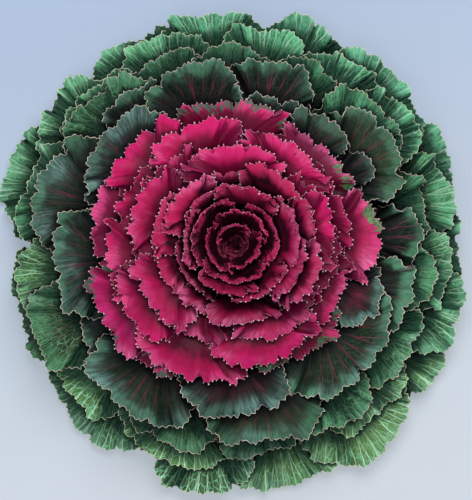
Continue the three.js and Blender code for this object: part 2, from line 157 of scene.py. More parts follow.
def wave(leaf, turn, slowPhase, fastPhase):
    slow = np.sin(leaf["slowWave"] * turn + slowPhase)
    fast = np.sin(leaf["fastWave"] * turn + fastPhase)
    return blade["slowShare"] * slow + (1 - blade["slowShare"]) * fast


def bladeAt(leaf, turn, out, tooth=0.0, ribSpread=0.0, ribReach=blade["ribReach"]):
    # distance from the axis, angle from the midrib, and height apart from the leaf's rise
    turn, out = np.broadcast_arrays(np.asarray(turn, float), np.asarray(out, float))
    way = np.abs(turn)
    far = way < math.pi / 2
    length = np.where(far, leaf["reach"] - leaf["widest"], leaf["widest"] - leaf["stalkEnd"])
    cosine, sine = np.cos(way), np.sin(way)
    along = np.where(far, np.maximum(cosine, 0) ** leaf["corner"], cosine)
    across = np.where(far, np.maximum(sine, 0) ** leaf["corner"], sine)
    fade = np.clip((blade["turnEnd"] - way) / blade["turnFade"], 0, 1)
    upSlow, upFast, outSlow, outFast = leaf["phases"]
    margin = leaf["widest"] + length * along
    margin = margin + fade * (leaf["lobe"] * wave(leaf, turn, outSlow, outFast) + tooth)
    bladeLength = leaf["reach"] - leaf["stalkEnd"]
    ribShare = (1 - ribSpread) * np.cos(way / 2) ** blade["ribCurl"]
    ribShare = ribShare + ribSpread * (1 - way / blade["turnEnd"])
    ribPoint = leaf["stalkEnd"] + ribReach * bladeLength * ribShare
    distance = ribPoint + (margin - ribPoint) * out
    side = np.sign(turn) * across * out
    lift = leaf["ruffle"] * fade * out ** blade["crisp"] * wave(leaf, turn, upSlow, upFast)
    howFar = (distance - leaf["root"]) / (leaf["reach"] - leaf["root"])
    return distance, leaf["spread"] * side, lift + leaf["tilt"] * side - leaf["droop"] * howFar ** 3


def risen(leaf, distance):  # share of its rise that the leaf has at a distance from the axis
    howFar = (distance - leaf["root"]) / (leaf["reach"] - leaf["root"])
    return 1 - np.maximum(0, 1 - howFar) ** leaf["flare"]


def inPlan(leaf, distance, swing):
    angle = leaf["azimuth"] + swing
    return distance * np.cos(angle), distance * np.sin(angle)


def nodePoints(name):
    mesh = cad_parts[name].data
    co = np.empty(len(mesh.vertices) * 3, np.float32)
    mesh.vertices.foreach_get("co", co)
    return np.unique(np.round(co.reshape(-1, 3) / mm, 3), axis=0)


# How a leaf's corners are found again in the frame, in millimetres
fitting = {"near": 0.02, "differs": 0.05, "agrees": 0.05, "enough": 4}


def fitToFrame(leaf, points):
    # The frame's leaf has these corners. Where they stand says how high its root is and how much it rises.
    marginCount, middleCount, ribCount = leaf["points"]
    corners = [(0, 1, leaf["tooth"] / 2), (0, blade["middleRow"], 0)]
    for side in (1, -1):
        for k in range(1, marginCount + 1):
            tooth = (-0.5 if k % 2 else 0.5) * leaf["tooth"]
            corners.append((side * blade["turnEnd"] * k / marginCount, 1, tooth))
        for k in range(1, middleCount + 1):
            corners.append((side * blade["turnEnd"] * k / middleCount, blade["middleRow"], 0))
    corners += [(blade["turnEnd"] * k / ribCount, 0, 0) for k in range(ribCount + 1)]
    turn, out, tooth = np.array(corners).T
    distance, swing, height = bladeAt(leaf, turn, out, tooth)
    x, y = inPlan(leaf, distance, swing)
    gap = np.hypot(points[:, 0][:, None] - x, points[:, 1][:, None] - y)
    which, corner = np.nonzero(gap < fitting["near"])
    share = risen(leaf, distance)[corner]
    left = points[which, 2] - height[corner]
    best = (0, 0, 0)
    for a in range(len(which)):
        for b in range(a):
            if abs(share[a] - share[b]) > fitting["differs"]:
                rise = (left[a] - left[b]) / (share[a] - share[b])
                rootHeight = left[a] - rise * share[a]
                off = np.abs(rootHeight + rise * share - left)
                agree = int((off < fitting["agrees"]).sum())
                best = max(best, (agree, rise, rootHeight))
    agree, leaf["rise"], leaf["rootHeight"] = best
    if agree < fitting["enough"]:
        raise RuntimeError("a leaf of " + leaf["name"] + " doesn't match the frame")


def columnsOf(leaf):
    # turns of the columns, evenly spaced along the margin, and closer over its far part
    turns = np.linspace(0, blade["turnEnd"], 600)
    arcs = []
    for side in (1, -1):
        distance, swing, _ = bladeAt(leaf, side * turns, 1.0)
        x, y = inPlan(leaf, distance, swing)
        arcs.append(np.concatenate([[0], np.cumsum(np.hypot(np.diff(x), np.diff(y)))]))
    arc = (arcs[0] + arcs[1]) / 2
    fine = min(leaf["finePart"], arc[-1])
    marks = list(np.arange(0, fine, leaf["step"]))
    marks += list(np.arange(fine, arc[-1], 3 * leaf["step"]))
    if len(marks) % 2:
        marks.append((marks[-1] + arc[-1]) / 2)
    marks.append(arc[-1])
    if len(marks) % 2 == 0:
        marks.insert(1, (marks[0] + marks[1]) / 2)
    found = np.interp(marks, arc, turns)
    return found, [np.interp(found, turns, one) for one in arcs]


def spikes(leaf, arc):  # from 0 between teeth to about 1 at their points
    place = arc / leaf["toothPitch"] + draw(leaf["seed"], 20)
    number = np.floor(place)
    height = 0.65 + 0.6 * np.abs(np.sin(number * 7.31 + leaf["seed"] * 1.7 + 20))
    lean = 0.5 + 0.16 * np.sin(number * 3.7 + leaf["seed"])
    part = place - number
    ramp = np.where(part < lean, part / lean, (1 - part) / (1 - lean))
    return height * ramp ** 1.3


def faceNormals(surface, side):
    down, across = np.gradient(surface, axis=0), np.gradient(surface, axis=1)
    normal = side * np.cross(across, down)
    return normal / np.maximum(np.linalg.norm(normal, axis=2, keepdims=True), 1e-9)


def halfLeaf(leaf, side, turns, arc):
    # one side of a leaf, columns by rows: its upper face, thickness, what the finish reads, and its teeth
    seed = leaf["seed"]
    rows = np.array(blade["rows"])
    turn, out = side * turns[:, None], rows[None, :]
    distance, swing, height = bladeAt(leaf, turn, out, 0.0, blade["ribSpread"], blade["fanReach"])
    x, y = inPlan(leaf, distance, swing)
    z = leaf["rootHeight"] + leaf["rise"] * risen(leaf, distance) + height

    # notches and teeth stand out square to the margin
    alongX, alongY = np.gradient(x[:, -1]), np.gradient(y[:, -1])
    size = np.hypot(alongX, alongY)
    outX, outY = side * alongY / size, -side * alongX / size
    calm = smooth(0, blade["calmTurn"], blade["turnEnd"] - turns)
    bent = arc + 1.4 * np.sin(arc * 0.11 + seed) + 0.5 * np.sin(arc * 0.37 + 2 * seed)
    signed = side * bent
    veins = signed / leaf["veinPitch"]
    panel = np.abs(np.sin(math.pi * veins))  # 0 along a side vein, 1 midway between two
    uneven = 0.75 + 0.45 * np.sin(signed * 0.21 + 4 * seed)
    notch = np.abs(np.sin(math.pi * signed / leaf["notchPitch"] + 0.5 * seed)) ** 0.6 - 0.7
    notch = leaf["notch"] * uneven * notch
    teeth = spikes(leaf, arc if side > 0 else arc + blade["otherSide"])
    teethOut = leaf["toothDepth"] * (teeth - 0.5)
    push = calm[:, None] * (notch[:, None] * out ** 4 + teethOut[:, None] * out ** 12)
    surface = np.stack([x + outX[:, None] * push, y + outY[:, None] * push, z], 2)

    # pleats between the veins, frills and crimps at the margin
    swell = 0.65 + 0.35 * np.sin(arc * 0.09 + 3 * seed)
    frillPlace = 2 * math.pi * signed / leaf["frillPitch"] + 2 * math.pi * draw(seed, 21)
    frillPlace = frillPlace + 0.8 * np.sin(0.6 * frillPlace + 5 * seed)
    bump = leaf["pleat"] * (panel[:, None] ** 0.8 - 0.6) * out ** 2.4 - leaf["flip"] * out ** 6
    frill = np.sin(frillPlace) + leaf["fineFrill"] * np.sin(2.3 * frillPlace + seed)
    bump = bump + leaf["frill"] * (swell * frill)[:, None] * out ** leaf["frillKeep"]
    crimp = np.sin(2 * math.pi * arc / blade["crimpPitch"] + 3 * np.sin(arc * 0.13 + seed) + side)
    bump = bump + (leaf["curl"] * teeth + leaf["crimp"] * swell * crimp)[:, None] * out ** 10
    surface = surface + faceNormals(surface, side) * (calm[:, None] * bump)[:, :, None]

    # stalk columns, from the blade's last one to the root
    ends = np.linspace(leaf["stalkEnd"], leaf["root"], blade["stalkColumns"])
    ends = np.append(ends, leaf["root"] - blade["rootInside"])[:, None]
    stalkX, stalkY = inPlan(leaf, ends, side * out * leaf["halfWidth"] / ends)
    groove = 0.12 * leaf["depth"] * (out ** 2 - 0.4)
    held = np.maximum(ends, leaf["root"])
    stalkZ = leaf["rootHeight"] + leaf["rise"] * risen(leaf, held) + groove
    stalkZ = stalkZ - leaf["droop"] * ((held - leaf["root"]) / (leaf["reach"] - leaf["root"])) ** 3
    stalk = np.stack([stalkX, stalkY, stalkZ], 2)
    joining = [surface[-1] * (1 - t) + stalk[0] * t for t in blade["between"]]
    surface = np.concatenate([surface, joining, stalk])

    # thickness: a thin margin, a midrib that grows into the stalk, and low ribs under the side veins
    bladeCount, stalkCount = len(turns), len(stalk)
    fromRib = np.abs(distance * swing)
    grown = np.clip((leaf["reach"] - distance) / (leaf["reach"] - leaf["stalkEnd"]), 0, 1)
    ribWidth = blade["tipRibWidth"] + (leaf["halfWidth"] - blade["tipRibWidth"]) * grown ** 1.6
    ribDepth = leaf["depth"] * (0.1 + 0.75 * grown ** 1.4)
    thick = leaf["edge"] + blade["thickInside"] * (1 - out ** 3)
    thick = thick + ribDepth * np.exp(-(fromRib / ribWidth) ** 2)
    nearest = np.abs(veins - np.round(veins)) * leaf["veinPitch"]
    sideRib = np.exp(-(nearest[:, None] * np.maximum(out, 0.05) / blade["sideRibWidth"]) ** 2)
    thick = thick + blade["sideRib"] * sideRib * (1 - out ** 2) * calm[:, None]
    oval = leaf["depth"] * np.sqrt(np.maximum(1 - (0.86 * rows) ** 2, 0))
    joining = [thick[-1] * (1 - t) + oval * t for t in blade["between"]]
    thick = np.concatenate([thick, joining, np.tile(oval, (stalkCount, 1))])

    added = 2 + stalkCount
    width = np.linalg.norm(surface[:, -1] - surface[:, 0], axis=1)
    facts = {
        "warped": side * np.concatenate([bent, bent[-1] + np.linspace(2, 30, added)]),
        "isBlade": np.concatenate([calm, np.zeros(added)]),
        "ridge": np.concatenate([panel, np.zeros(added)]),
        "isStalk": np.concatenate([np.zeros(bladeCount), [0.3, 0.7], np.ones(stalkCount)]),
    }
    facts = {key: np.outer(values, np.ones(len(rows))) for key, values in facts.items()}
    facts["rimGap"] = (1 - out) * width[:, None]
    facts["fromRib"] = np.concatenate([fromRib, np.zeros((added, len(rows)))])
    facts["outward"] = np.tile(rows, (len(surface), 1))
    return surface, thick, facts, teeth


# Leaves settle on those below them, on a fine grid of heights.
settling = {"cell": 0.8, "half": 180, "gap": 0.25, "mostLift": 3.5, "mostHeartLift": 1.5, "mostBudLift": 0.6,
            "finerRows": 56}
# How much sky is hidden is felt out in some directions, at growing steps. A point with this much leaf above
# it, from the first to the second height, is hidden altogether.
feeling = {"directions": 12, "steps": (1.6, 3.2, 5.6, 9, 14), "ignored": 0.5, "covered": (0.9, 3.0)}
pileSize = int(2 * settling["half"] / settling["cell"])
pile = np.zeros((pileSize, pileSize))


def cellsOf(points):
    places = np.rint((points[..., :2] + settling["half"]) / settling["cell"]).astype(int)
    return places[..., 0].clip(0, pileSize - 1), places[..., 1].clip(0, pileSize - 1)


def finerRows(grid):
    at = np.linspace(0, grid.shape[1] - 1.001, settling["finerRows"])
    low = at.astype(int)
    part = (at - low)[None, :, None]
    return grid[:, low] * (1 - part) + grid[:, low + 1] * part, np.rint(at).astype(int)


def settle(lower, mostLift):
    # lower: the two sides' lower faces as one grid, from one root round the tip to the other
    points, rowOf = finerRows(lower)
    need = pile[cellsOf(points)] + settling["gap"] - points[..., 2]
    lift = np.zeros(lower.shape[:2])
    for row in range(lower.shape[1]):
        lift[:, row] = need[:, rowOf == row].max(axis=1)
    lift = lift.clip(0, mostLift)
    for blend in (np.max, np.max, np.mean, np.mean, np.mean, np.mean):
        padded = np.pad(lift, 1, mode="edge")
        shifted = [padded[i:i + lift.shape[0], j:j + lift.shape[1]] for i in range(3) for j in range(3)]
        lift = blend(shifted, axis=0)
    return lift


def addToPile(upper):
    points, _ = finerRows(upper)
    np.maximum.at(pile, cellsOf(points), points[..., 2])


def shelterOf(points):  # how much of the sky the leaves round a point hide, 0 to 1
    around = feeling["directions"]
    hidden = np.zeros(len(points))
    for k in range(around):
        angle = 2 * math.pi * k / around
        way = np.array([math.cos(angle), math.sin(angle)])
        slope = np.zeros(len(points))
        for step in feeling["steps"]:
            above = pile[cellsOf(points[:, :2] + step * way)] - points[:, 2] - feeling["ignored"]
            slope = np.maximum(slope, above / step)
        hidden += slope / np.sqrt(1 + slope ** 2) / around
    return np.maximum(hidden, smooth(*feeling["covered"], pile[cellsOf(points)] - points[:, 2]))


def joinSides(sides):  # from the - root round the tip to the + root
    return np.concatenate([sides[1][:0:-1], sides[0]])


def leafMesh(leaf, mostLift):
    turns, arcs = columnsOf(leaf)
    halves = [halfLeaf(leaf, side, turns, arc) for side, arc in zip((1, -1), arcs)]
    for half in halves:  # the midrib and the tip's middle line belong to both sides
        for mine, shared in zip(half[:2], halves[0][:2]):
            mine[:, 0] = shared[:, 0]
            mine[0] = shared[0]
    uppers = [half[0] for half in halves]
    count = len(uppers[0])
    normals = [faceNormals(upper, side) for upper, side in zip(uppers, (1, -1))]
    ribNormal = normals[0][:, 0] + normals[1][:, 0]
    tipNormal = normals[0][0] + normals[1][0]
    for normal in normals:
        normal[:, 0] = ribNormal
        normal[0] = tipNormal
        normal /= np.maximum(np.linalg.norm(normal, axis=2, keepdims=True), 1e-9)
    lowers = [upper - normal * half[1][:, :, None] for upper, normal, half in zip(uppers, normals, halves)]
    lift = settle(joinSides(lowers), mostLift)
    lifts = [lift[count - 1:].copy(), lift[count - 1::-1].copy()]
    ribLift = (lifts[0][:, 0] + lifts[1][:, 0]) / 2
    for one, upper, lower in zip(lifts, uppers, lowers):
        one[:, 0] = ribLift
        upper[:, :, 2] += one
        lower[:, :, 2] += one
    addToPile(joinSides(uppers))
    return assemble(halves, uppers, lowers, len(turns)), tipsOf(halves, uppers, len(turns))


def tipsOf(halves, uppers, bladeCount):  # where the points of the teeth are, and the margin as a line
    tips, line = [], []
    for half, upper in zip(halves, uppers):
        teeth, edge = half[3], upper[:bladeCount, -1]
        for i in range(1, bladeCount - blade["plainColumns"]):
            if teeth[i] > teeth[i - 1] and teeth[i] >= teeth[i + 1] and teeth[i] > blade["toothSeen"]:
                tips.append(edge[i])
        line.append(edge)
    return np.array(tips).reshape(-1, 3), joinSides(line)


def assemble(halves, uppers, lowers, bladeCount):
    # points are numbered by layer, side, column and row, and then the shared ones are merged
    count, rowCount = uppers[0].shape[:2]
    number = np.arange(4 * count * rowCount).reshape(2, 2, count, rowCount)
    real = number.copy()
    real[:, 1, :, 0] = real[:, 0, :, 0]
    real[:, 1, 0, :] = real[:, 0, 0, :]
    used, where = np.unique(real.ravel(), return_inverse=True)
    where = where.reshape(-1)
    places = np.stack([np.stack(uppers), np.stack(lowers)]).reshape(-1, 3)

    quads, triangles = [], []
    for layer in (0, 1):
        strides = blade["strides"][layer]
        for side in (0, 1):
            grid = number[layer, side]
            turned = -1 if (layer + side) % 2 else 1
            for row in range(rowCount - 1):
                fewer = list(range(0, bladeCount - 1, strides[row])) + list(range(bladeCount - 1, count))
                more = set(range(0, bladeCount - 1, strides[row + 1])) | set(range(bladeCount - 1, count))
                inner, outer = grid[:, row], grid[:, row + 1]
                for i, j in zip(fewer, fewer[1:]):
                    steps = [k for k in range(i, j + 1) if k in more]
                    if len(steps) == 2:
                        quads.append((outer[i], outer[j], inner[j], inner[i])[::turned])
                        continue
                    half = len(steps) // 2  # a fan from each inner point, and one triangle between them
                    fan = [(outer[a], outer[b], inner[i]) for a, b in zip(steps[:half], steps[1:half + 1])]
                    fan.append((outer[steps[half]], inner[j], inner[i]))
                    fan += [(outer[a], outer[b], inner[j]) for a, b in zip(steps[half:], steps[half + 1:])]
                    triangles += [corners[::turned] for corners in fan]
    for side in (0, 1):
        top, under = number[0, side], number[1, side]
        rim = list(zip(top[:, -1], under[:, -1]))
        rim += list(zip(top[-1, -2::-1], under[-1, -2::-1]))
        for (a, b), (c, d) in zip(rim, rim[1:]):
            quads.append((c, a, b, d) if side == 0 else (a, c, d, b))
    quads, triangles = np.array(quads), np.array(triangles)
    keep = np.isin(number.ravel(), used)

    def both(key):
        pair = np.stack([halves[0][2][key], halves[1][2][key]])
        return np.stack([pair, pair]).reshape(-1)

    facts = {key: both(key)[keep] for key in ("rimGap", "fromRib", "isBlade", "ridge", "isStalk")}
    facts["under"] = (np.arange(number.size) >= number.size // 2)[keep].astype(float)
    leafMap = np.stack([both("warped"), both("outward")], 1)
    return {
        "points": places[keep], "facts": facts, "quads": where[quads], "triangles": where[triangles],
        "mapQuads": leafMap[quads], "mapTriangles": leafMap[triangles],
    }


mapPerMm = 0.0025  # share of the map's width that a millimetre of margin takes up


def meshFrom(name, parts, perLeaf):
    # joins the parts and gives them a map, with the margin's length across and the way out upwards
    points = np.concatenate([part["points"] for part in parts]) * mm
    starts = np.cumsum([0] + [len(part["points"]) for part in parts])
    faces, uvs = [], []
    for part, start in zip(parts, starts):
        for key, mapKey in (("quads", "mapQuads"), ("triangles", "mapTriangles")):
            faces += (part[key] + start).tolist()
            uvs.append(part[mapKey].reshape(-1, 2))
    mesh = bpy.data.meshes.new(name)
    mesh.from_pydata(points.tolist(), [], faces)
    uv = np.concatenate(uvs)
    uv[:, 0] = 0.5 + uv[:, 0] * mapPerMm
    mesh.uv_layers.new(name="leafMap").data.foreach_set("uv", uv.astype(np.float32).ravel())
    facts = {key: np.concatenate([part["facts"][key] for part in parts]) for key in parts[0]["facts"]}
    for key in ("rimGap", "fromRib"):
        facts[key] = facts[key] * mm
    for key in perLeaf[0]:
        facts[key] = np.concatenate([np.full(len(part["points"]), leaf[key])
                                     for part, leaf in zip(parts, perLeaf)])
    for key, values in facts.items():
        mesh.attributes.new(key, "FLOAT", "POINT").data.foreach_set("value", values.astype(np.float32))
    shadeSmooth(mesh, 62)
    mesh.validate()
    mesh.update()
    return mesh


def shadeSmooth(mesh, sharpDegrees):
    mesh.polygons.foreach_set("use_smooth", np.ones(len(mesh.polygons), bool))
    mesh.set_sharp_from_angle(angle=math.radians(sharpDegrees))


def addPiece(name, mesh, material, slot, *nodes):
    piece = bpy.data.objects.new(name, mesh)
    bpy.context.scene.collection.objects.link(piece)
    mesh.materials.clear()
    mesh.materials.append(material)
    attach(piece, "root")
    if nodes:
        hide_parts(*nodes)


def tone(red, green, blue):  # a colour as a picture editor gives it, 0 to 255
    def linear(c):
        c /= 255
        return c / 12.92 if c <= 0.04045 else ((c + 0.055) / 1.055) ** 2.4
    return (linear(red), linear(green), linear(blue), 1.0)


class Wire:
    # What comes out of a node. + - * and / add a Math node to it, and ramp adds a soft step.
    def __init__(self, tree, socket):
        self.tree, self.socket = tree, socket

    def __add__(self, other):
        return calc("ADD", self, other)

    def __sub__(self, other):
        return calc("SUBTRACT", self, other)

    def __rsub__(self, other):
        return calc("SUBTRACT", other, self)

    def __mul__(self, other):
        return calc("MULTIPLY", self, other)

    def __truediv__(self, other):
        return calc("DIVIDE", self, other)

    def ramp(self, low, high, start=0.0, end=1.0):
        inputs = {"Value": self, "From Min": low, "From Max": high, "To Min": start, "To Max": end}
        return add(self.tree, "ShaderNodeMapRange", inputs, "Result", interpolation_type="SMOOTHSTEP")


def plug(socket, value):
    if isinstance(value, Wire):
        value.tree.links.new(value.socket, socket)
    else:
        socket.default_value = value


def add(tree, kind, inputs, output=0, **settings):  # a new node, and the wire from one of its outputs
    node = tree.nodes.new(kind)
    for key, value in settings.items():
        setattr(node, key, value)
    for key, value in inputs.items():
        plug(node.inputs[key], value)
    return Wire(tree, node.outputs[output])


def calc(operation, a, b=0.0, clamp=False):
    tree = (a if isinstance(a, Wire) else b).tree
    return add(tree, "ShaderNodeMath", {0: a, 1: b}, operation=operation, use_clamp=clamp)


def mixed(amount, a, b):
    tree = next(value.tree for value in (amount, a, b) if isinstance(value, Wire))
    return add(tree, "ShaderNodeMix", {0: amount, 6: a, 7: b}, 2, data_type="RGBA")


def axesOf(tree, vector):
    node = tree.nodes.new("ShaderNodeSeparateXYZ")
    plug(node.inputs[0], vector)
    return [Wire(tree, socket) for socket in node.outputs]


def newGroup(name, inputs, outputs, treeKind="ShaderNodeTree", outputKind="NodeSocketFloat"):
    # inputs hold a value each, or the kind of socket where no value is wanted
    group = bpy.data.node_groups.new(name, treeKind)
    kinds = {float: "NodeSocketFloat", int: "NodeSocketInt", tuple: "NodeSocketVector"}
    for label, value in inputs.items():
        kind = kinds.get(type(value), value)
        socket = group.interface.new_socket(label, in_out="INPUT", socket_type=kind)
        if kind != value:
            socket.default_value = value
    for label in outputs:
        group.interface.new_socket(label, in_out="OUTPUT", socket_type=outputKind)
    given = {socket.name: Wire(group, socket) for socket in group.nodes.new("NodeGroupInput").outputs}
    return group, given, group.nodes.new("NodeGroupOutput").inputs


def useGroup(tree, group, inputs):
    node = tree.nodes.new("ShaderNodeGroup")
    node.node_tree = group
    for key, value in inputs.items():
        plug(node.inputs[key], value)
    return {socket.name: Wire(tree, socket) for socket in node.outputs}


def makeVeinGroup():
    # side veins that fork on their way to the margin. Along is the place along the margin, in metres
    group, given, result = newGroup("sideVeins", {
        "Along": 0.0, "Out": 0.0, "Place": (0.0, 0.0, 0.0), "Pitch": 0.009, "Width": 0.0004, "Fork": 0.5,
        "Wander": 0.0008}, ["Veins", "Near"])
    noise = add(group, "ShaderNodeTexNoise", {"Vector": given["Place"], "Scale": 140.0, "Detail": 1.0}, "Fac")
    turns = (given["Along"] + (noise - 0.5) * given["Wander"] * 4.0) / given["Pitch"]
    off = calc("ABSOLUTE", turns - calc("ROUND", turns))
    forked = calc("ABSOLUTE", off - given["Out"].ramp(given["Fork"], 1.05, 0.0, 0.24))
    gap = forked * (given["Pitch"] * calc("MAXIMUM", given["Out"], 0.08))
    width = given["Width"] * given["Out"].ramp(0.0, 1.0, 1.5, 0.7)
    plug(result["Veins"], gap.ramp(width * 0.4, width, 1.0, 0.0))
    plug(result["Near"], gap.ramp(0.0, width * 5.0, 1.0, 0.0))
    return group


def makeNetGroup():
    # the fine net between the side veins, with its cells per metre of leaf
    group, given, result = newGroup(
        "veinNet", {"Place": (0.0, 0.0, 0.0), "Cells": 300.0, "Width": 0.08}, ["Net", "Bulge"])
    place = given["Place"]
    noise = add(group, "ShaderNodeTexNoise", {"Vector": place, "Scale": 220.0, "Detail": 1.0}, "Color")
    stray = add(group, "ShaderNodeVectorMath", {0: noise, 1: (0.5, 0.5, 0.5)}, operation="SUBTRACT")
    stray = add(group, "ShaderNodeVectorMath", {0: stray, "Scale": 0.0022}, operation="SCALE")
    place = add(group, "ShaderNodeVectorMath", {0: place, 1: stray}, operation="ADD")
    cells = add(group, "ShaderNodeTexVoronoi", {"Vector": place, "Scale": given["Cells"]}, "Distance",
                feature="DISTANCE_TO_EDGE")
    plug(result["Net"], cells.ramp(0.0, given["Width"], 1.0, 0.0))
    plug(result["Bulge"], cells.ramp(0.0, 0.4))
    return group


def makeMottleGroup():
    group, given, result = newGroup("mottle", {
        "Place": (0.0, 0.0, 0.0), "Scale": 60.0, "Low": 0.35, "High": 0.65}, ["Patches"])
    noise = add(group, "ShaderNodeTexNoise", {
        "Vector": given["Place"], "Scale": given["Scale"], "Detail": 4.0, "Roughness": 0.6}, "Fac")
    plug(result["Patches"], noise.ramp(given["Low"], given["High"]))
    return group


def makeStreakGroup():
    # fine streaks that run with the veins, other ones on each leaf by its Seed
    group, given, result = newGroup("streaks", {
        "Along": 0.0, "Out": 0.0, "Seed": 0.0, "Pitch": 0.0014, "Length": 0.22}, ["Streaks"])
    place = add(group, "ShaderNodeCombineXYZ", {
        "X": given["Along"] / given["Pitch"], "Y": given["Out"] / given["Length"], "Z": given["Seed"]})
    noise = add(group, "ShaderNodeTexNoise", {
        "Vector": place, "Scale": 1.0, "Detail": 3.0, "Roughness": 0.6}, "Fac")
    plug(result["Streaks"], noise.ramp(0.32, 0.68))
    return group


sideVeins, veinNet, mottle, streaks = makeVeinGroup(), makeNetGroup(), makeMottleGroup(), makeStreakGroup()


def newMaterial(name):  # with its tree, the inputs of its shader, and the place on the object
    material = bpy.data.materials.new(name)
    material.use_nodes = True
    tree = material.node_tree
    return material, tree, tree.nodes["Principled BSDF"].inputs, add(tree, "ShaderNodeTexCoord", {}, "Object")


def mottled(tree, place, scale, low=0.35, high=0.65):
    return useGroup(tree, mottle, {"Place": place, "Scale": scale, "Low": low, "High": high})["Patches"]


# Spots that all leaves share, in patches per metre, and how far patches and the waxy coat with its painted
# sheen reach, in millimetres
spots = {"fine": 420.0, "bloom": 24.0, "rim": 55.0, "patchReach": 6, "bloomSheenFrom": 1, "bloomSheenReach": 16}


def leafMaterial(name, look):
    material, tree, shader, place = newMaterial(name)

    def fact(key):
        return add(tree, "ShaderNodeAttribute", {}, "Fac", attribute_name=key)

    def fromMargin(key):  # the pair of distances in metres
        return [distance * mm for distance in look[key]]

    def over(colour, *layers):  # lays colours of the look over it, each by its own amount
        for amount, key in layers:
            colour = mixed(amount, colour, look[key])
        return colour

    along, out, _ = axesOf(tree, add(tree, "ShaderNodeUVMap", {}, "UV", uv_map="leafMap"))
    along = (along - 0.5) * (mm / mapPerMm)
    isBlade, under, rimGap, fromRib = fact("isBlade"), fact("under"), fact("rimGap"), fact("fromRib")
    shelter, shade, netted = fact("shelter"), fact("shade"), fact("netted")
    veins = useGroup(tree, sideVeins, {
        "Along": along, "Out": out, "Place": place, "Pitch": look["pitch"] * mm,
        "Width": look["veinWidth"] * mm, "Wander": look["wander"]})
    leafPlace = add(tree, "ShaderNodeCombineXYZ", {
        "X": along, "Y": out * (look["netReach"] * mm), "Z": shade})
    net = useGroup(tree, veinNet, {"Place": leafPlace, "Cells": look["netCells"]})
    patches = mottled(tree, place, look["patchScale"], 0.38, 0.62)
    fineSpots = mottled(tree, place, spots["fine"], 0.3, 0.7)
    streaky = useGroup(tree, streaks, {"Along": along, "Out": out, "Seed": shade * 50.0})["Streaks"]

    # from the margin inwards the leaf gets deeper in colour, partly its own colour and partly painted shade
    # of the hollows between leaves
    inward = rimGap + (patches - 0.5) * (spots["patchReach"] * mm)
    colour = mixed(inward.ramp(*fromMargin("toMiddle")), look["outer"], look["middle"])
    # the waxy coat with a painted sheen on it, lying near the margin and in streaks
    bloomSheenEnd = fact("bloomy") * (spots["bloomSheenReach"] * mm)
    bloom = mottled(tree, place, spots["bloom"], 0.42, 0.7)
    bloom = bloom * rimGap.ramp(spots["bloomSheenFrom"] * mm, bloomSheenEnd, look["bloomMix"], 0.0)
    bloom = bloom * streaky.ramp(0.0, 1.0, 0.4, 1.3)
    # laid over it: patches, painted sheen on the ridges between side veins, the deep inside (partly painted
    # shade), specks, warm tint, blush, and the waxy coat's painted sheen
    colour = over(
        colour, (patches * look["patchMix"], "patch"), (fact("ridge") * out * look["ridgeMix"], "ridge"),
        (inward.ramp(*fromMargin("toDeep")), "deep"), (fineSpots * 0.12, "deep"),
        (fact("warmth") * look["warmMix"], "warm"), (fact("blush") * out.ramp(*look["blushTo"]), "blush"),
        (bloom, "bloom"))

    # the net, the side veins and the midrib
    cells = calc("SUBTRACT", netted, 1.0, clamp=True) * calc("SUBTRACT", 0.75, net["Net"], clamp=True)
    netMask = net["Net"] * isBlade * look["netMix"] * patches.ramp(0.0, 1.0, 0.45, 1.0)
    colour = over(colour, (cells, "deep"), (calc("MULTIPLY", netMask, netted, clamp=True), "netColour"))
    veinMask = veins["Veins"] * isBlade * patches.ramp(0.0, 1.0, look["veinFade"], 1.0)
    midrib = fromRib.ramp(0.3 * mm, look["ribWidth"] * mm, 1.0, 0.0)
    midrib = midrib * (isBlade * out.ramp(0.2, 0.95, 1.0, 0.35))
    lines = calc("MAXIMUM", veinMask, midrib)
    veinColour = mixed(out.ramp(0.55, 1.0), look["veinInner"], look["veinOuter"])
    colour = mixed(lines * look["veinMix"], colour, veinColour)

    # painted shade where other leaves hide the sky from it, and paler at the very rim, less so where that
    # shade falls
    rimWidth = look["rimWidth"] * mm
    rim = (rimGap + fineSpots * (0.5 * rimWidth)).ramp(0.2 * mm, rimWidth, 1.0, 0.0)
    colour = over(
        colour, (shelter.ramp(*look["dusk"], 0.0, 0.9), "shaded"), (shelter.ramp(*look["night"]), "darkest"),
        (rim * shelter.ramp(0.3, 0.9, 1.0, 0.3) * look["rimMix"], "rim"))

    if look.get("rimPatch"):  # some of the outer magenta leaves turn green in patches at their margins
        broken = out + mottled(tree, place, spots["rim"], 0.3, 0.7) * 0.3 - veins["Near"] * 0.06
        aside = calc("ABSOLUTE", along - fact("patchAt")) / fact("patchSpan")
        greenness = fact("rimGreen") * aside.ramp(0.7, 1.1, 1.0, 0.0)
        spot = (broken - (1.27 - greenness * 0.35)).ramp(0.0, 0.06) * greenness.ramp(0.0, 0.1)
        patchColour = mixed(fineSpots, look["rimPatch"], look["rimPatchDark"])
        patchColour = mixed(fact("teal"), patchColour, look["rimTeal"])
        colour = mixed(spot * 0.9, colour, patchColour)
    # lightness of each leaf: its own tone, plus painted light and shade by the side it is on, in streaks
    value = ((streaky - 0.5) * look["streakMix"] + 1.0) * shade
    colour = add(tree, "ShaderNodeHueSaturation", {"Value": value, "Color": colour})
    underColour = mixed(calc("MAXIMUM", lines, net["Net"] * 0.3), look["under"], look["underVein"])
    colour = mixed(under * look["underMix"], colour, underColour)
    ribUnder = under * fromRib.ramp(0.5 * mm, 3.0 * mm, 0.8, 0.0)
    plug(shader["Base Color"], mixed(calc("MAXIMUM", ribUnder, fact("isStalk")), colour, look["stalkColour"]))

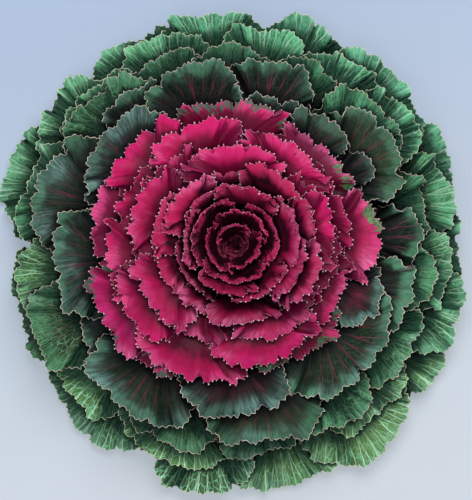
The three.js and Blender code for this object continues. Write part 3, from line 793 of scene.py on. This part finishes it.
    rough = look["rough"]
    plug(shader["Roughness"], patches.ramp(0.0, 1.0, rough - 0.07, rough + 0.07) - lines * 0.06)
    relief = (veins["Near"] * look["veinRelief"] + net["Bulge"] * look["netRelief"]) * isBlade
    relief = relief + streaky * look["streakMix"]
    plug(shader["Normal"], add(tree, "ShaderNodeBump", {
        "Height": relief, "Strength": look["bump"], "Distance": 0.5 * mm}, "Normal"))
    plug(shader["Subsurface Weight"], look["glow"])
    plug(shader["Subsurface Radius"], look["glowRadius"])
    plug(shader["Subsurface Scale"], 1 * mm)
    plug(shader["Specular IOR Level"], look["shine"])
    return material


# Colours by ring. toMiddle and toDeep are millimetres from the margin, dusk and night are shares of hidden
# sky, and the lengths under side veins and margin are millimetres, but for wander, which is metres.
greenLook = {
    # colours from the margin inwards, the deeper ones partly painted shade, and how far in each starts and
    # ends
    "outer": tone(122, 216, 166), "middle": tone(41, 108, 74), "deep": tone(14, 40, 28),
    "toMiddle": (1, 16), "toDeep": (12, 32),
    # patches, painted sheen on the ridges between side veins, warm and blushing leaves, waxy coat with
    # painted sheen
    "patch": tone(30, 90, 58), "patchMix": 0.62, "patchScale": 45.0, "ridge": tone(118, 198, 154),
    "ridgeMix": 0.2, "warm": tone(108, 132, 68), "warmMix": 0.9, "blush": tone(90, 30, 50),
    "blushTo": (0.9, 0.3), "bloom": tone(176, 220, 198), "bloomMix": 0.45, "streakMix": 0.2,
    # side veins and the net between them
    "pitch": 9.5, "veinWidth": 0.5, "wander": 0.0005, "veinInner": tone(150, 196, 150),
    "veinOuter": tone(192, 230, 196), "veinMix": 0.85, "veinFade": 0.75, "ribWidth": 1.0,
    "netColour": tone(122, 186, 140), "netMix": 0.9, "netCells": 300.0, "netReach": 34.0,
    # painted shade in sheltered places
    "dusk": (0.1, 0.46), "night": (0.42, 0.85), "shaded": tone(20, 50, 38), "darkest": tone(6, 14, 12),
    # margin, underside and stalk
    "rim": tone(232, 236, 190), "rimWidth": 0.42, "rimMix": 0.7, "under": tone(96, 140, 112),
    "underVein": tone(164, 194, 158), "underMix": 0.9, "stalkColour": tone(168, 190, 146),
    # surface
    "rough": 0.55, "bump": 1.3, "veinRelief": -0.8, "netRelief": 0.8, "glow": 0.08,
    "glowRadius": (0.4, 1.0, 0.3), "shine": 0.1,
}
darkLook = dict(greenLook, toMiddle=(1, 9), patchMix=0.5, ridgeMix=0.12, bloomMix=0.85, streakMix=0.24,
    veinWidth=0.38, wander=0.0006, veinMix=0.66, veinFade=0.4, rimMix=0.8, rough=0.5, bump=0.7,
    veinRelief=-0.4, netRelief=0.3, glow=0.04)
looks = {
    "outer": greenLook,
    "green": dict(greenLook, outer=tone(102, 190, 136), middle=tone(36, 94, 60), pitch=9.0),
    "innerGreen": dict(greenLook, outer=tone(90, 162, 116), middle=tone(30, 72, 50), deep=tone(9, 20, 15),
        toDeep=(9, 26), patch=tone(40, 84, 54), ridge=tone(88, 138, 106), ridgeMix=0.08,
        warm=tone(84, 108, 64), warmMix=0.5, bloomMix=0.4, pitch=8.5, veinWidth=0.36, wander=0.0006,
        veinInner=tone(112, 60, 60), veinOuter=tone(142, 182, 136), veinMix=0.6,
        netColour=tone(104, 156, 116), netMix=0.85, rim=tone(224, 214, 170), rimMix=0.8),
    "veined": dict(darkLook, outer=tone(86, 144, 110), middle=tone(24, 45, 37), deep=tone(6, 8, 9),
        toDeep=(4, 14), patch=tone(34, 62, 48), ridge=tone(88, 120, 106), warm=tone(62, 86, 54),
        warmMix=0.5, blush=tone(120, 26, 62), bloom=tone(124, 166, 156), pitch=11,
        veinInner=tone(132, 28, 66), veinOuter=tone(110, 78, 78), netColour=tone(84, 110, 98), netMix=0.22,
        shaded=tone(12, 18, 17), darkest=tone(4, 4, 5), rim=tone(248, 236, 208), under=tone(86, 102, 96),
        underVein=tone(150, 60, 92), stalkColour=tone(140, 60, 90)),
    "dark": dict(darkLook, outer=tone(84, 124, 104), middle=tone(22, 35, 33), deep=tone(7, 5, 8),
        toDeep=(4, 13), patch=tone(34, 50, 46), ridge=tone(88, 108, 104), warm=tone(62, 82, 56),
        warmMix=0.4, blush=tone(150, 26, 76), bloom=tone(124, 164, 156), pitch=10.5,
        veinInner=tone(132, 26, 68), veinOuter=tone(104, 66, 76), netColour=tone(78, 92, 92), netMix=0.2,
        shaded=tone(14, 14, 17), darkest=tone(5, 3, 5), rim=tone(248, 236, 214), under=tone(84, 88, 92),
        underVein=tone(160, 50, 92), stalkColour=tone(150, 50, 90)),
    "magenta": dict(greenLook, outer=tone(222, 32, 110), middle=tone(182, 18, 78), deep=tone(50, 5, 22),
        toMiddle=(2, 10), toDeep=(9, 22), patch=tone(196, 24, 92), patchMix=0.25, ridge=tone(214, 56, 124),
        ridgeMix=0.0, warm=tone(158, 34, 112), warmMix=1.0, blush=tone(216, 96, 146), blushTo=(0.6, 1.0),
        bloom=tone(240, 128, 178), bloomMix=0.65, streakMix=0.06, pitch=8.0, veinWidth=0.3, wander=0.0008,
        veinInner=tone(120, 10, 48), veinOuter=tone(188, 30, 98), veinMix=0.15, netColour=tone(166, 18, 76),
        netMix=0.0, netCells=330.0, dusk=(0.06, 0.34), night=(0.44, 0.9), shaded=tone(98, 9, 42),
        darkest=tone(42, 7, 19), rim=tone(246, 176, 196), rimWidth=0.5, rimMix=0.3,
        rimPatch=tone(104, 160, 100), rimPatchDark=tone(48, 96, 66), rimTeal=tone(54, 100, 84),
        under=tone(150, 32, 82), underVein=tone(200, 90, 130), underMix=0.7, stalkColour=tone(160, 70, 110),
        rough=0.42, bump=0.15, veinRelief=0.0, netRelief=0.05, glow=0.1, glowRadius=(1.0, 0.2, 0.4)),
}
looks["inner"] = dict(looks["magenta"], outer=tone(194, 36, 88), middle=tone(158, 24, 68),
    deep=tone(40, 9, 20), toMiddle=(3, 9), toDeep=(6, 13), dusk=(0.25, 0.55), night=(0.42, 0.78),
    shaded=tone(80, 12, 38), darkest=tone(12, 4, 8))
looks["core"] = dict(looks["magenta"], outer=tone(226, 54, 112), middle=tone(150, 30, 72),
    deep=tone(14, 6, 10), toMiddle=(1.2, 3.2), toDeep=(2.4, 5.4), patchMix=0.15, bloomMix=0.15,
    dusk=(0.4, 0.8), night=(0.65, 1.0), shaded=tone(60, 14, 30), darkest=tone(12, 5, 8), rimMix=0.12)
looks["bud"] = dict(looks["core"], outer=tone(184, 74, 102), middle=tone(134, 56, 74),
    deep=tone(62, 32, 40), toMiddle=(0.8, 2.5), toDeep=(2, 5), patch=tone(92, 40, 48), patchMix=0.5,
    dusk=(0.7, 1.1), night=(0.95, 1.3), rimMix=0.1)
materials = {name: leafMaterial(name + "Leaf", look) for name, look in looks.items()}
print("leaf materials ready:", len(materials))

# Painted light and shade by side, added to a look's leaves: all of them, and those at +Y, at +X and at -Y
paintedSideLight = {
    "outer": (0.12, 0, 0, 0.4), "green": (0.12, 0, 0, 0.85), "innerGreen": (0.06, -0.22, 0.2, 0.12),
    "veined": (0, -0.22, 0.14, 0), "dark": (0, -0.22, 0.14, 0), "magenta": (-0.02, 0.12, 0, -0.12),
    "inner": (0.02, 0.19, 0, -0.19), "core": (0.02, 0.19, 0, -0.19),
}

# What sets single leaves apart, by ring and azimuth
oneLeaf = {
    ("outer", 47): {"widen": 1.15}, ("outer", 97): {"longer": 1.5},
    ("outer", 161): {"widen": 1.12, "netted": 1.35}, ("outer", 199): {"widen": 1.1, "netted": 1.15},
    ("outer", 231): {"widen": 1.12, "netted": 1.6}, ("outer", 261): {"netted": 1.85},
    ("outer", 282): {"longer": 2.0, "warmth": 0.8}, ("outer", 304): {"widen": 1.12, "warmth": 0.85},
    ("outer", 324): {"widen": 1.15, "warmth": 0.7}, ("outer", 358): {"longer": 3.0},
    ("green", 224): {"netted": 1.3}, ("green", 310): {"warmth": 0.8},
    ("veined", 35): {"warmth": 0.85}, ("veined", 78): {"warmth": 0.25}, ("veined", 106): {"warmth": 0.2},
    ("veined", 164): {"bloomy": 1.4}, ("veined", 188): {"bloomy": 1.4}, ("veined", 215): {"bloomy": 1.3},
    ("veined", 280): {"blush": 0.2},
    ("dark", 33): {"warmth": 0.35}, ("dark", 53): {"warmth": 0.95}, ("dark", 74): {"warmth": 0.5},
    ("dark", 142): {"bloomy": 1.2}, ("dark", 269): {"blush": 0.35}, ("dark", 337): {"blush": 0.8},
    ("heart1", 3): {"widen": 0.8, "longer": -3.0, "shade": 1.1, "warmth": 0.0, "blush": 0.25, "bloomy": 1.2,
        "rimGreen": 1.0, "patchAt": 0.012, "patchSpan": 0.011},
    ("heart1", 45): {"longer": -2.0, "shade": 1.16, "blush": 0.85, "bloomy": 0.9, "rimGreen": 0.6,
        "patchAt": -0.02, "patchSpan": 0.01},
    ("heart1", 94): {"rimGreen": 0.6, "teal": 0.9}, ("heart1", 136): {"bloomy": 1.0},
    ("heart1", 168): {"shade": 1.16, "warmth": 0.3, "blush": 0.35, "bloomy": 1.2},
    ("heart1", 211): {"warmth": 0.25, "rimGreen": 0.45, "teal": 1.0},
    ("heart1", 233): {"longer": -2.5, "warmth": 0.3, "rimGreen": 0.3, "teal": 1.0},
    ("heart1", 303): {"widen": 0.92, "longer": -4.5, "rimGreen": 0.6, "teal": 0.6},
    ("heart2", 21): {"longer": -1.5}, ("heart2", 146): {"bloomy": 0.8},
    ("heart2", 190): {"shade": 1.1, "bloomy": 1.0}, ("heart2", 287): {"longer": -2.0},
    ("heart2", 325): {"longer": -2.0},
}


def characterOf(leaf):
    seed, angle = leaf["seed"], leaf["azimuth"]
    shadySide = 0.5 - 0.5 * math.cos(angle - math.radians(65))  # 0 at azimuth 65 degrees, 1 opposite: there leaves get painted shade, a warmer tint and more of the waxy coat's sheen
    always, atBack, atRight, atFront = paintedSideLight[leaf["look"]]
    shade = always + atBack * max(0.0, math.sin(angle)) + atFront * max(0.0, -math.sin(angle))
    shade += atRight * max(0.0, math.cos(angle))
    character = {
        "shade": shade + 0.88 + 0.16 * draw(seed, 30), "warmth": 0.0, "blush": 0.0, "rimGreen": 0.0,
        "patchAt": 0.0, "patchSpan": 0.1, "bloomy": 0.5, "netted": 1.0, "teal": 0.0,
    }
    if leaf["slot"] != "magenta_leaf":
        character.update(
            shade=shade + 0.9 - 0.1 * shadySide + 0.24 * draw(seed, 30),
            warmth=shadySide * (0.3 + 0.7 * draw(seed, 31)), bloomy=0.07 + 0.85 * shadySide)
    if leaf["slot"] == "green_leaf":
        character["netted"] = 1.05 + 0.2 * shadySide
    character.update({key: value for key, value in leaf["own"].items() if key in character})
    return character


# Leaves, from the lowest ring up
leafNumber = 0
toMake, margins, toothTips, fineTips, tipProfile = [], {}, [], [], []
heartPoints = nodePoints("magenta_heart")
for column, (ringName, rows) in enumerate(ringLeaves.items()):
    ring = {key: values[column] for key, values in ringTable.items()}
    ring["name"] = ringName
    isHeart = ring["slot"] == "magenta_leaf"
    margins[ringName], parts, leaves = [], [], []
    for index, row in enumerate(rows):
        leafNumber += 1
        leaf = leafOf(ring, row, leafNumber)
        number = f"{index + 1:02d}"
        node = ring["node"] if isHeart else ring["node"] + "_" + number
        fitToFrame(leaf, heartPoints if isHeart else nodePoints(node))
        leaf["spread"] *= ring["widen"] * leaf["own"].get("widen", 1.0)
        leaf["corner"] *= ring["squarer"]
        leaf["reach"] += leaf["own"].get("longer", 0.0)
        part, (tips, line) = leafMesh(leaf, settling["mostHeartLift" if isHeart else "mostLift"])
        margins[ringName].append(line)
        parts.append(part)
        leaves.append(leaf)
        if isHeart:
            (fineTips if ring["look"] == "core" else toothTips).append(tips)
        else:
            toMake.append((ringName + "Leaf_" + number, [part], [leaf], [node]))
    if isHeart:
        tipProfile.append((ring["root"], max(leaf["rootHeight"] for leaf in leaves)))
        toMake.append((ringName + "Leaves", parts, leaves, [node] if ringName == "heart1" else []))
    print(ringName, "leaves laid:", len(leaves))

# the smallest leaves stand curled together on the growing tip, lower than those round them
bud = {"count": 9, "turn": 137.5, "reach": (12.5, 4.0), "rise": (21, 10), "halfSpread": (62, 95), "sunk": 0.5}
budRing = dict(
    ring, root=1.2, halfWidth=0.8, depth=0.8, ruffle=0.7, lobe=0.6, step=0.45, finePart=26, notch=0.8,
    toothDepth=0.7, toothPitch=1.9, frill=0.8, frillPitch=8, flip=0.6, edge=0.4)
parts, leaves = [], []
margins["bud"] = []
budBase = tipProfile[-1][1] - bud["sunk"]
for k in range(bud["count"]):
    leafNumber += 1
    t = k / (bud["count"] - 1)
    reach, rise, halfSpread = [a + (b - a) * t for a, b in (bud["reach"], bud["rise"], bud["halfSpread"])]
    leaf = leafOf(budRing, (40 + bud["turn"] * k, reach, halfSpread), leafNumber)
    leaf.update(rootHeight=budBase, rise=rise)
    part, (_, line) = leafMesh(leaf, settling["mostBudLift"])
    parts.append(part)
    leaves.append(leaf)
    margins["bud"].append(line)
toMake.append(("budLeaves", parts, leaves, []))

triangleCount = 0
for name, parts, leaves, nodes in toMake:
    for part in parts:
        part["facts"]["shelter"] = shelterOf(part["points"])
        triangleCount += 2 * len(part["quads"]) + len(part["triangles"])
    mesh = meshFrom(name, parts, [characterOf(leaf) for leaf in leaves])
    look = "bud" if name == "budLeaves" else leaves[0]["look"]
    addPiece(name, mesh, materials[look], leaves[0]["slot"], *nodes)
print("leaf triangles:", triangleCount, "highest", round(float(pile.max()), 1), "mm")


def lathe(name, profile, sides, shape):
    # profile: (radius, height) from the middle of the bottom to the middle of the top, in millimetres
    points, faces = [], []
    for radius, height in profile[1:-1]:
        for k in range(sides):
            angle = 2 * math.pi * k / sides
            wide = radius + shape(radius, height, angle)
            points.append((wide * math.cos(angle), wide * math.sin(angle), height))
    count = len(profile) - 2
    for ring in range(count - 1):
        for k in range(sides):
            a, b = ring * sides + k, ring * sides + (k + 1) % sides
            faces.append((a, b, b + sides, a + sides))
    points += [(0, 0, profile[0][1]), (0, 0, profile[-1][1])]
    bottom, top = len(points) - 2, len(points) - 1
    last = (count - 1) * sides
    for k in range(sides):
        faces.append((bottom, (k + 1) % sides, k))
        faces.append((top, last + k, last + (k + 1) % sides))
    mesh = bpy.data.meshes.new(name)
    mesh.from_pydata((np.array(points) * mm).tolist(), [], faces)
    shadeSmooth(mesh, 50)
    return mesh


stem = {
    "cutRadius": 14.5, "radius": 12.0, "footHeight": 2.0, "flareHeight": 4.5, "sides": 120, "step": 0.7,
    "ribs": 9, "ribDepth": 0.28, "pithRadius": 6.2, "woodRadius": 11.2, "bundles": 38,
    "scars": 11, "scarTurn": 137.5, "scarFrom": 7.5, "scarRise": 1.9, "scarWide": 3.4, "scarHigh": 1.7,
    "scarSwell": 0.55, "plainEnd": 0.4,
}
stemTop = nodePoints("stem")[:, 2].max()


def stemShape(radius, height, angle):
    # low ribs that run down below the stalks, and ringed scars where leaves have dropped
    if height <= stem["plainEnd"] or height >= stemTop - stem["plainEnd"]:
        return 0.0
    shape = -stem["ribDepth"] * (0.5 + 0.5 * math.sin(stem["ribs"] * angle + height * 0.16))
    for k in range(stem["scars"]):
        turned = math.radians(stem["scarTurn"] * k) - angle
        across = stem["radius"] * math.atan2(math.sin(turned), math.cos(turned)) / stem["scarWide"]
        up = (height - stem["scarFrom"] - stem["scarRise"] * k) / stem["scarHigh"]
        apart = math.hypot(across, up)
        if apart < 2:
            ringed = math.exp(-((apart - 0.8) / 0.35) ** 2) + 0.35 * math.exp(-apart ** 2)
            shape += stem["scarSwell"] * ringed
    return shape


def stemProfile():
    cut, radius, foot = stem["cutRadius"], stem["radius"], stem["footHeight"]
    profile = [(r, 0) for r in (0, 2.0, 4.0, stem["pithRadius"], 8.2, 10.0, stem["woodRadius"], 12.6, 13.8)]
    profile += [(cut - 0.35, 0), (cut - 0.1, 0.12), (cut, 0.45)]
    for t in np.linspace(0, 1, 9):
        profile.append((cut + (radius - cut) * float(smooth(0, 1, t)), foot + t * stem["flareHeight"]))
    for height in np.arange(foot + stem["flareHeight"] + stem["step"], stemTop - 0.6, stem["step"]):
        profile.append((radius, float(height)))
    profile += [(radius, stemTop - 0.35), (radius - 0.4, stemTop)]
    return profile + [(8.0, stemTop), (4.0, stemTop), (0, stemTop)]


def stemMaterial():
    material, tree, shader, place = newMaterial("stemSkin")
    x, y, z = axesOf(tree, place)
    patches = mottled(tree, place, 90.0)
    stretched = add(tree, "ShaderNodeVectorMath", {0: place, 1: (1.0, 1.0, 0.12)}, operation="MULTIPLY")
    fibres = mottled(tree, stretched, 900.0)
    skin = mixed(patches, tone(138, 158, 104), tone(166, 180, 130))
    skin = mixed(fibres * 0.35, skin, tone(112, 118, 76))
    skin = mixed(z.ramp(30 * mm, 0.0, 0.0, 0.45), skin, tone(150, 132, 92))

    # the cut face: pith, a ring of bundles and bark
    fromAxis = calc("SQRT", calc("POWER", x, 2.0) + calc("POWER", y, 2.0))
    pith, wood = stem["pithRadius"] * mm, stem["woodRadius"] * mm
    turned = calc("ARCTAN2", y, x) * (stem["bundles"] / 2)
    bundles = calc("ABSOLUTE", calc("SINE", turned)).ramp(0.45, 0.85)
    bundles = bundles * fromAxis.ramp(pith + 0.8 * mm, pith + 2 * mm)
    bundles = bundles * fromAxis.ramp(wood - 0.8 * mm, wood + 0.2 * mm, 1.0, 0.0)
    inPith = fromAxis.ramp(pith - 0.8 * mm, pith + 0.8 * mm, 1.0, 0.0)
    cut = mixed(inPith, tone(206, 210, 168), tone(228, 228, 202))
    cut = mixed(bundles * 0.6, cut, tone(158, 156, 104))
    rays = add(tree, "ShaderNodeTexNoise", {"Vector": place, "Scale": 520.0, "Detail": 3.0}, "Fac")
    cut = mixed(rays * 0.3, cut, tone(186, 172, 122))
    cut = mixed(fromAxis.ramp(wood + 1.6 * mm, wood + 2.4 * mm), cut, tone(148, 152, 100))
    plug(shader["Base Color"], mixed(z.ramp(0.1 * mm, 0.3 * mm, 1.0, 0.0), skin, cut))
    plug(shader["Roughness"], patches.ramp(0.0, 1.0, 0.5, 0.66))
    plug(shader["Normal"], add(tree, "ShaderNodeBump", {
        "Height": fibres, "Strength": 0.25, "Distance": 0.3 * mm}, "Normal"))
    return material


def plainMaterial(name, light, dark, rough, scale):
    material, tree, shader, place = newMaterial(name)
    patches = mottled(tree, place, scale)
    plug(shader["Base Color"], mixed(patches, light, dark))
    plug(shader["Roughness"], patches.ramp(0.0, 1.0, rough - 0.08, rough + 0.08))
    plug(shader["Specular IOR Level"], 0.35)
    return material


stemMesh = lathe("stemBody", stemProfile(), stem["sides"], stemShape)
addPiece("stemBody", stemMesh, stemMaterial(), "stem", "stem")

growingTip = {
    "gap": 0.35, "radius": 9.0, "sides": 40, "stages": (0.35, 0.7, 1.0),
    "round": ((1.7, 0.8), (0.8, 1.2), (0, 1.3)),  # radius, and height above the last leaves' roots
    "hollows": 8, "hollowTwist": 0.9, "hollowDepth": 0.25, "plainRadius": 6,
}


def tipSteps():  # narrower at each ring of leaves, and round at the top
    reached = stemTop + growingTip["gap"]
    profile = [(0, reached), (growingTip["radius"], reached)]
    for root, top in tipProfile:
        for t in growingTip["stages"]:
            height = reached + (top - reached) * t
            if height > profile[-1][1] + 0.05:
                profile.append((root, height))
        reached = max(reached, top)
    return profile + [(radius, reached + above) for radius, above in growingTip["round"]]


def tipShape(radius, height, angle):  # shallow hollows between the stalks
    hollow = 0.5 + 0.5 * math.sin(growingTip["hollows"] * angle + height * growingTip["hollowTwist"])
    return -growingTip["hollowDepth"] * hollow * min(1.0, radius / growingTip["plainRadius"])


tipMaterial = plainMaterial("growingTip", tone(92, 20, 46), tone(52, 8, 24), 0.5, 200.0)
tipMesh = lathe("growingTip", tipSteps(), growingTip["sides"], tipShape)
addPiece("growingTip", tipMesh, tipMaterial, "magenta_leaf")
print("stem and growing tip made")


# What repeats is grown on points and lines: the tips of teeth and the hard margins.
def growTree(name, inputs):
    inputs = dict({"Geometry": "NodeSocketGeometry"}, **inputs, Material="NodeSocketMaterial")
    return newGroup(name, inputs, ["Geometry"], "GeometryNodeTree", "NodeSocketGeometry")


def finishTree(tree, shapes, given, result):
    real = add(tree, "GeometryNodeRealizeInstances", {"Geometry": shapes})
    soft = add(tree, "GeometryNodeSetShadeSmooth", {"Geometry": real})
    plug(result["Geometry"], add(tree, "GeometryNodeSetMaterial", {
        "Geometry": soft, "Material": given["Material"]}))
    return tree


def beadTree():
    tree, given, result = growTree("beadsOnTips", {"Radius": 0.0004, "Smallest": 0.7, "Seed": 3})
    ball = add(tree, "GeometryNodeMeshIcoSphere", {"Radius": given["Radius"], "Subdivisions": 1}, "Mesh")
    size = add(tree, "FunctionNodeRandomValue", {2: given["Smallest"], 3: 1.25, "Seed": given["Seed"]}, 1,
               data_type="FLOAT")
    spread = add(tree, "GeometryNodeInstanceOnPoints", {
        "Points": given["Geometry"], "Instance": ball, "Scale": size}, "Instances")
    return finishTree(tree, spread, given, result)


def cordTree():
    tree, given, result = growTree("cordsOnLines", {
        "Radius": 0.00026, "Sides": 3, "Thinnest": 0.25, "Thickest": 1.6})
    curve = add(tree, "GeometryNodeMeshToCurve", {"Mesh": given["Geometry"]}, "Curve")
    circle = add(tree, "GeometryNodeCurvePrimitiveCircle", {
        "Resolution": given["Sides"], "Radius": given["Radius"]}, "Curve")
    noise = add(tree, "ShaderNodeTexNoise", {"Scale": 330.0, "Detail": 1.0}, "Fac")
    scale = add(tree, "ShaderNodeMapRange", {
        "Value": noise, "From Min": 0.35, "From Max": 0.65, "To Min": given["Thinnest"],
        "To Max": given["Thickest"]}, "Result")
    cord = add(tree, "GeometryNodeCurveToMesh", {
        "Curve": curve, "Profile Curve": circle, "Scale": scale, "Fill Caps": True}, "Mesh")
    return finishTree(tree, cord, given, result)


def grow(name, points, edges, tree, values, material, slot):
    # runs a geometry tree on points and edges and keeps what it makes as a plain mesh
    base = bpy.data.meshes.new(name + "Base")
    base.from_pydata((np.array(points) * mm).tolist(), edges, [])
    holder = bpy.data.objects.new(name + "Base", base)
    bpy.context.scene.collection.objects.link(holder)
    modifier = holder.modifiers.new("grow", "NODES")
    modifier.node_group = tree
    sockets = {item.name: item.identifier for item in tree.interface.items_tree if item.in_out == "INPUT"}
    for key, value in dict(values, Material=material).items():
        modifier[sockets[key]] = value
    grown = holder.evaluated_get(bpy.context.evaluated_depsgraph_get())
    mesh = bpy.data.meshes.new_from_object(grown)
    holder.modifiers.clear()
    bpy.data.objects.remove(holder)
    bpy.data.meshes.remove(base)
    mesh.name = name
    addPiece(name, mesh, material, slot)
    print(name, "faces:", len(mesh.polygons))


def chains(lines):
    points, edges = [], []
    for line in lines:
        start = len(points)
        points += line.tolist()
        edges += [(start + i, start + i + 1) for i in range(len(line) - 1)]
    return points, edges


# name, light and dark tone, roughness, and patches per metre of what edges the leaves
edging = {name: plainMaterial(name, *values) for name, values in {
    "toothTips": (tone(252, 228, 228), tone(236, 188, 196), 0.4, 600.0),
    "paleMargins": (tone(248, 250, 220), tone(200, 216, 168), 0.5, 300.0),
    "creamMargins": (tone(255, 252, 234), tone(220, 180, 152), 0.5, 260.0),
    "pinkMargins": (tone(242, 156, 184), tone(208, 56, 114), 0.45, 300.0),
    "roseMargins": (tone(222, 70, 124), tone(176, 34, 84), 0.45, 300.0)}.items()}
beads, cords = beadTree(), cordTree()
for name, tips, radius, seed in (("toothTips", toothTips, 0.47, 4), ("fineToothTips", fineTips, 0.28, 7)):
    grow(name, np.concatenate(tips), [], beads, {"Radius": radius * mm, "Smallest": 0.45, "Seed": seed},
         edging["toothTips"], "magenta_leaf")
for name, ringNames, material, slot, radius in (
        ("greenMargins", ("outer", "green"), "paleMargins", "green_leaf", 0.18),
        ("innerMargins", ("innerGreen",), "creamMargins", "green_leaf", 0.16),
        ("darkMargins", ("veined", "dark"), "creamMargins", "dark_leaf", 0.16),
        ("heartMargins", ("heart1", "heart2", "heart3", "heart4"), "pinkMargins", "magenta_leaf", 0.13),
        ("coreMargins", ("heart5", "heart6", "bud"), "roseMargins", "magenta_leaf", 0.12)):
    points, edges = chains([line for ringName in ringNames for line in margins[ringName]])
    grow(name, points, edges, cords, {"Radius": radius * mm}, edging[material], slot)

studio = {
    "groundNear": tone(220, 227, 234), "groundFar": tone(184, 201, 225), "groundHalf": 4.0,
    "groundGlow": 0.45,  # share of the ground's brightness that is its own light, as on a light table
    "overheadPower": 24.5, "overheadSize": 1.3, "overheadPlace": (0.2, 0.95, 1.7),
    "fillPower": 11.0, "fillSize": 1.8, "fillPlace": (-0.7, -0.8, 1.7),
    "sky": tone(206, 218, 236), "skyStrength": 0.36,
}
half = studio["groundHalf"]
ground = bpy.data.objects.new("ground", bpy.data.meshes.new("ground"))
bpy.context.scene.collection.objects.link(ground)
ground.data.from_pydata([(-half, -half, 0), (half, -half, 0), (half, half, 0), (-half, half, 0)], [],
                        [(0, 1, 2, 3)])
groundMaterial, tree, shader, place = newMaterial("groundPaper")
x, y, _ = axesOf(tree, place)
# painted light on the ground: paler towards -Y, darker towards +Y
groundColour = mixed((y - x * 0.25).ramp(-0.2, 0.2), studio["groundNear"], studio["groundFar"])
plug(shader["Base Color"], mixed(studio["groundGlow"], groundColour, (0, 0, 0, 1)))
plug(shader["Emission Color"], groundColour)
plug(shader["Emission Strength"], 0.94 * studio["groundGlow"])
plug(shader["Roughness"], 0.9)
plug(shader["Specular IOR Level"], 0.1)
ground.data.materials.append(groundMaterial)

world = bpy.data.worlds.new("studio")
bpy.context.scene.world = world
world.use_nodes = True
sky = world.node_tree.nodes["Background"].inputs
plug(sky["Color"], studio["sky"])
plug(sky["Strength"], studio["skyStrength"])

lightAim = np.array((0, 0, 0.05))
for name in ("overhead", "fill"):
    light = bpy.data.lights.new(name, "AREA")
    light.shape = "DISK"
    light.size = studio[name + "Size"]
    light.energy = studio[name + "Power"]
    lamp = bpy.data.objects.new(name, light)
    bpy.context.scene.collection.objects.link(lamp)
    lamp.location = studio[name + "Place"]
    to = lightAim - np.array(studio[name + "Place"])
    flat = math.hypot(to[0], to[1])
    lamp.rotation_euler = (math.atan2(flat, -to[2]), 0, math.atan2(to[1], to[0]) - math.pi / 2)

view = {"height": 1.52, "back": 0.00445, "lens": 170.04, "sensor": 36, "farthest": 20}
camera = bpy.data.objects.new("camera", bpy.data.cameras.new("camera"))
bpy.context.scene.collection.objects.link(camera)
camera.location = (0, -view["back"], view["height"])
camera.rotation_euler = (0, 0, 0)
camera.data.lens = view["lens"]
camera.data.sensor_width = view["sensor"]
camera.data.clip_end = view["farthest"]
bpy.context.scene.camera = camera
bpy.context.scene.view_settings.view_transform = "Standard"
print("studio ready")
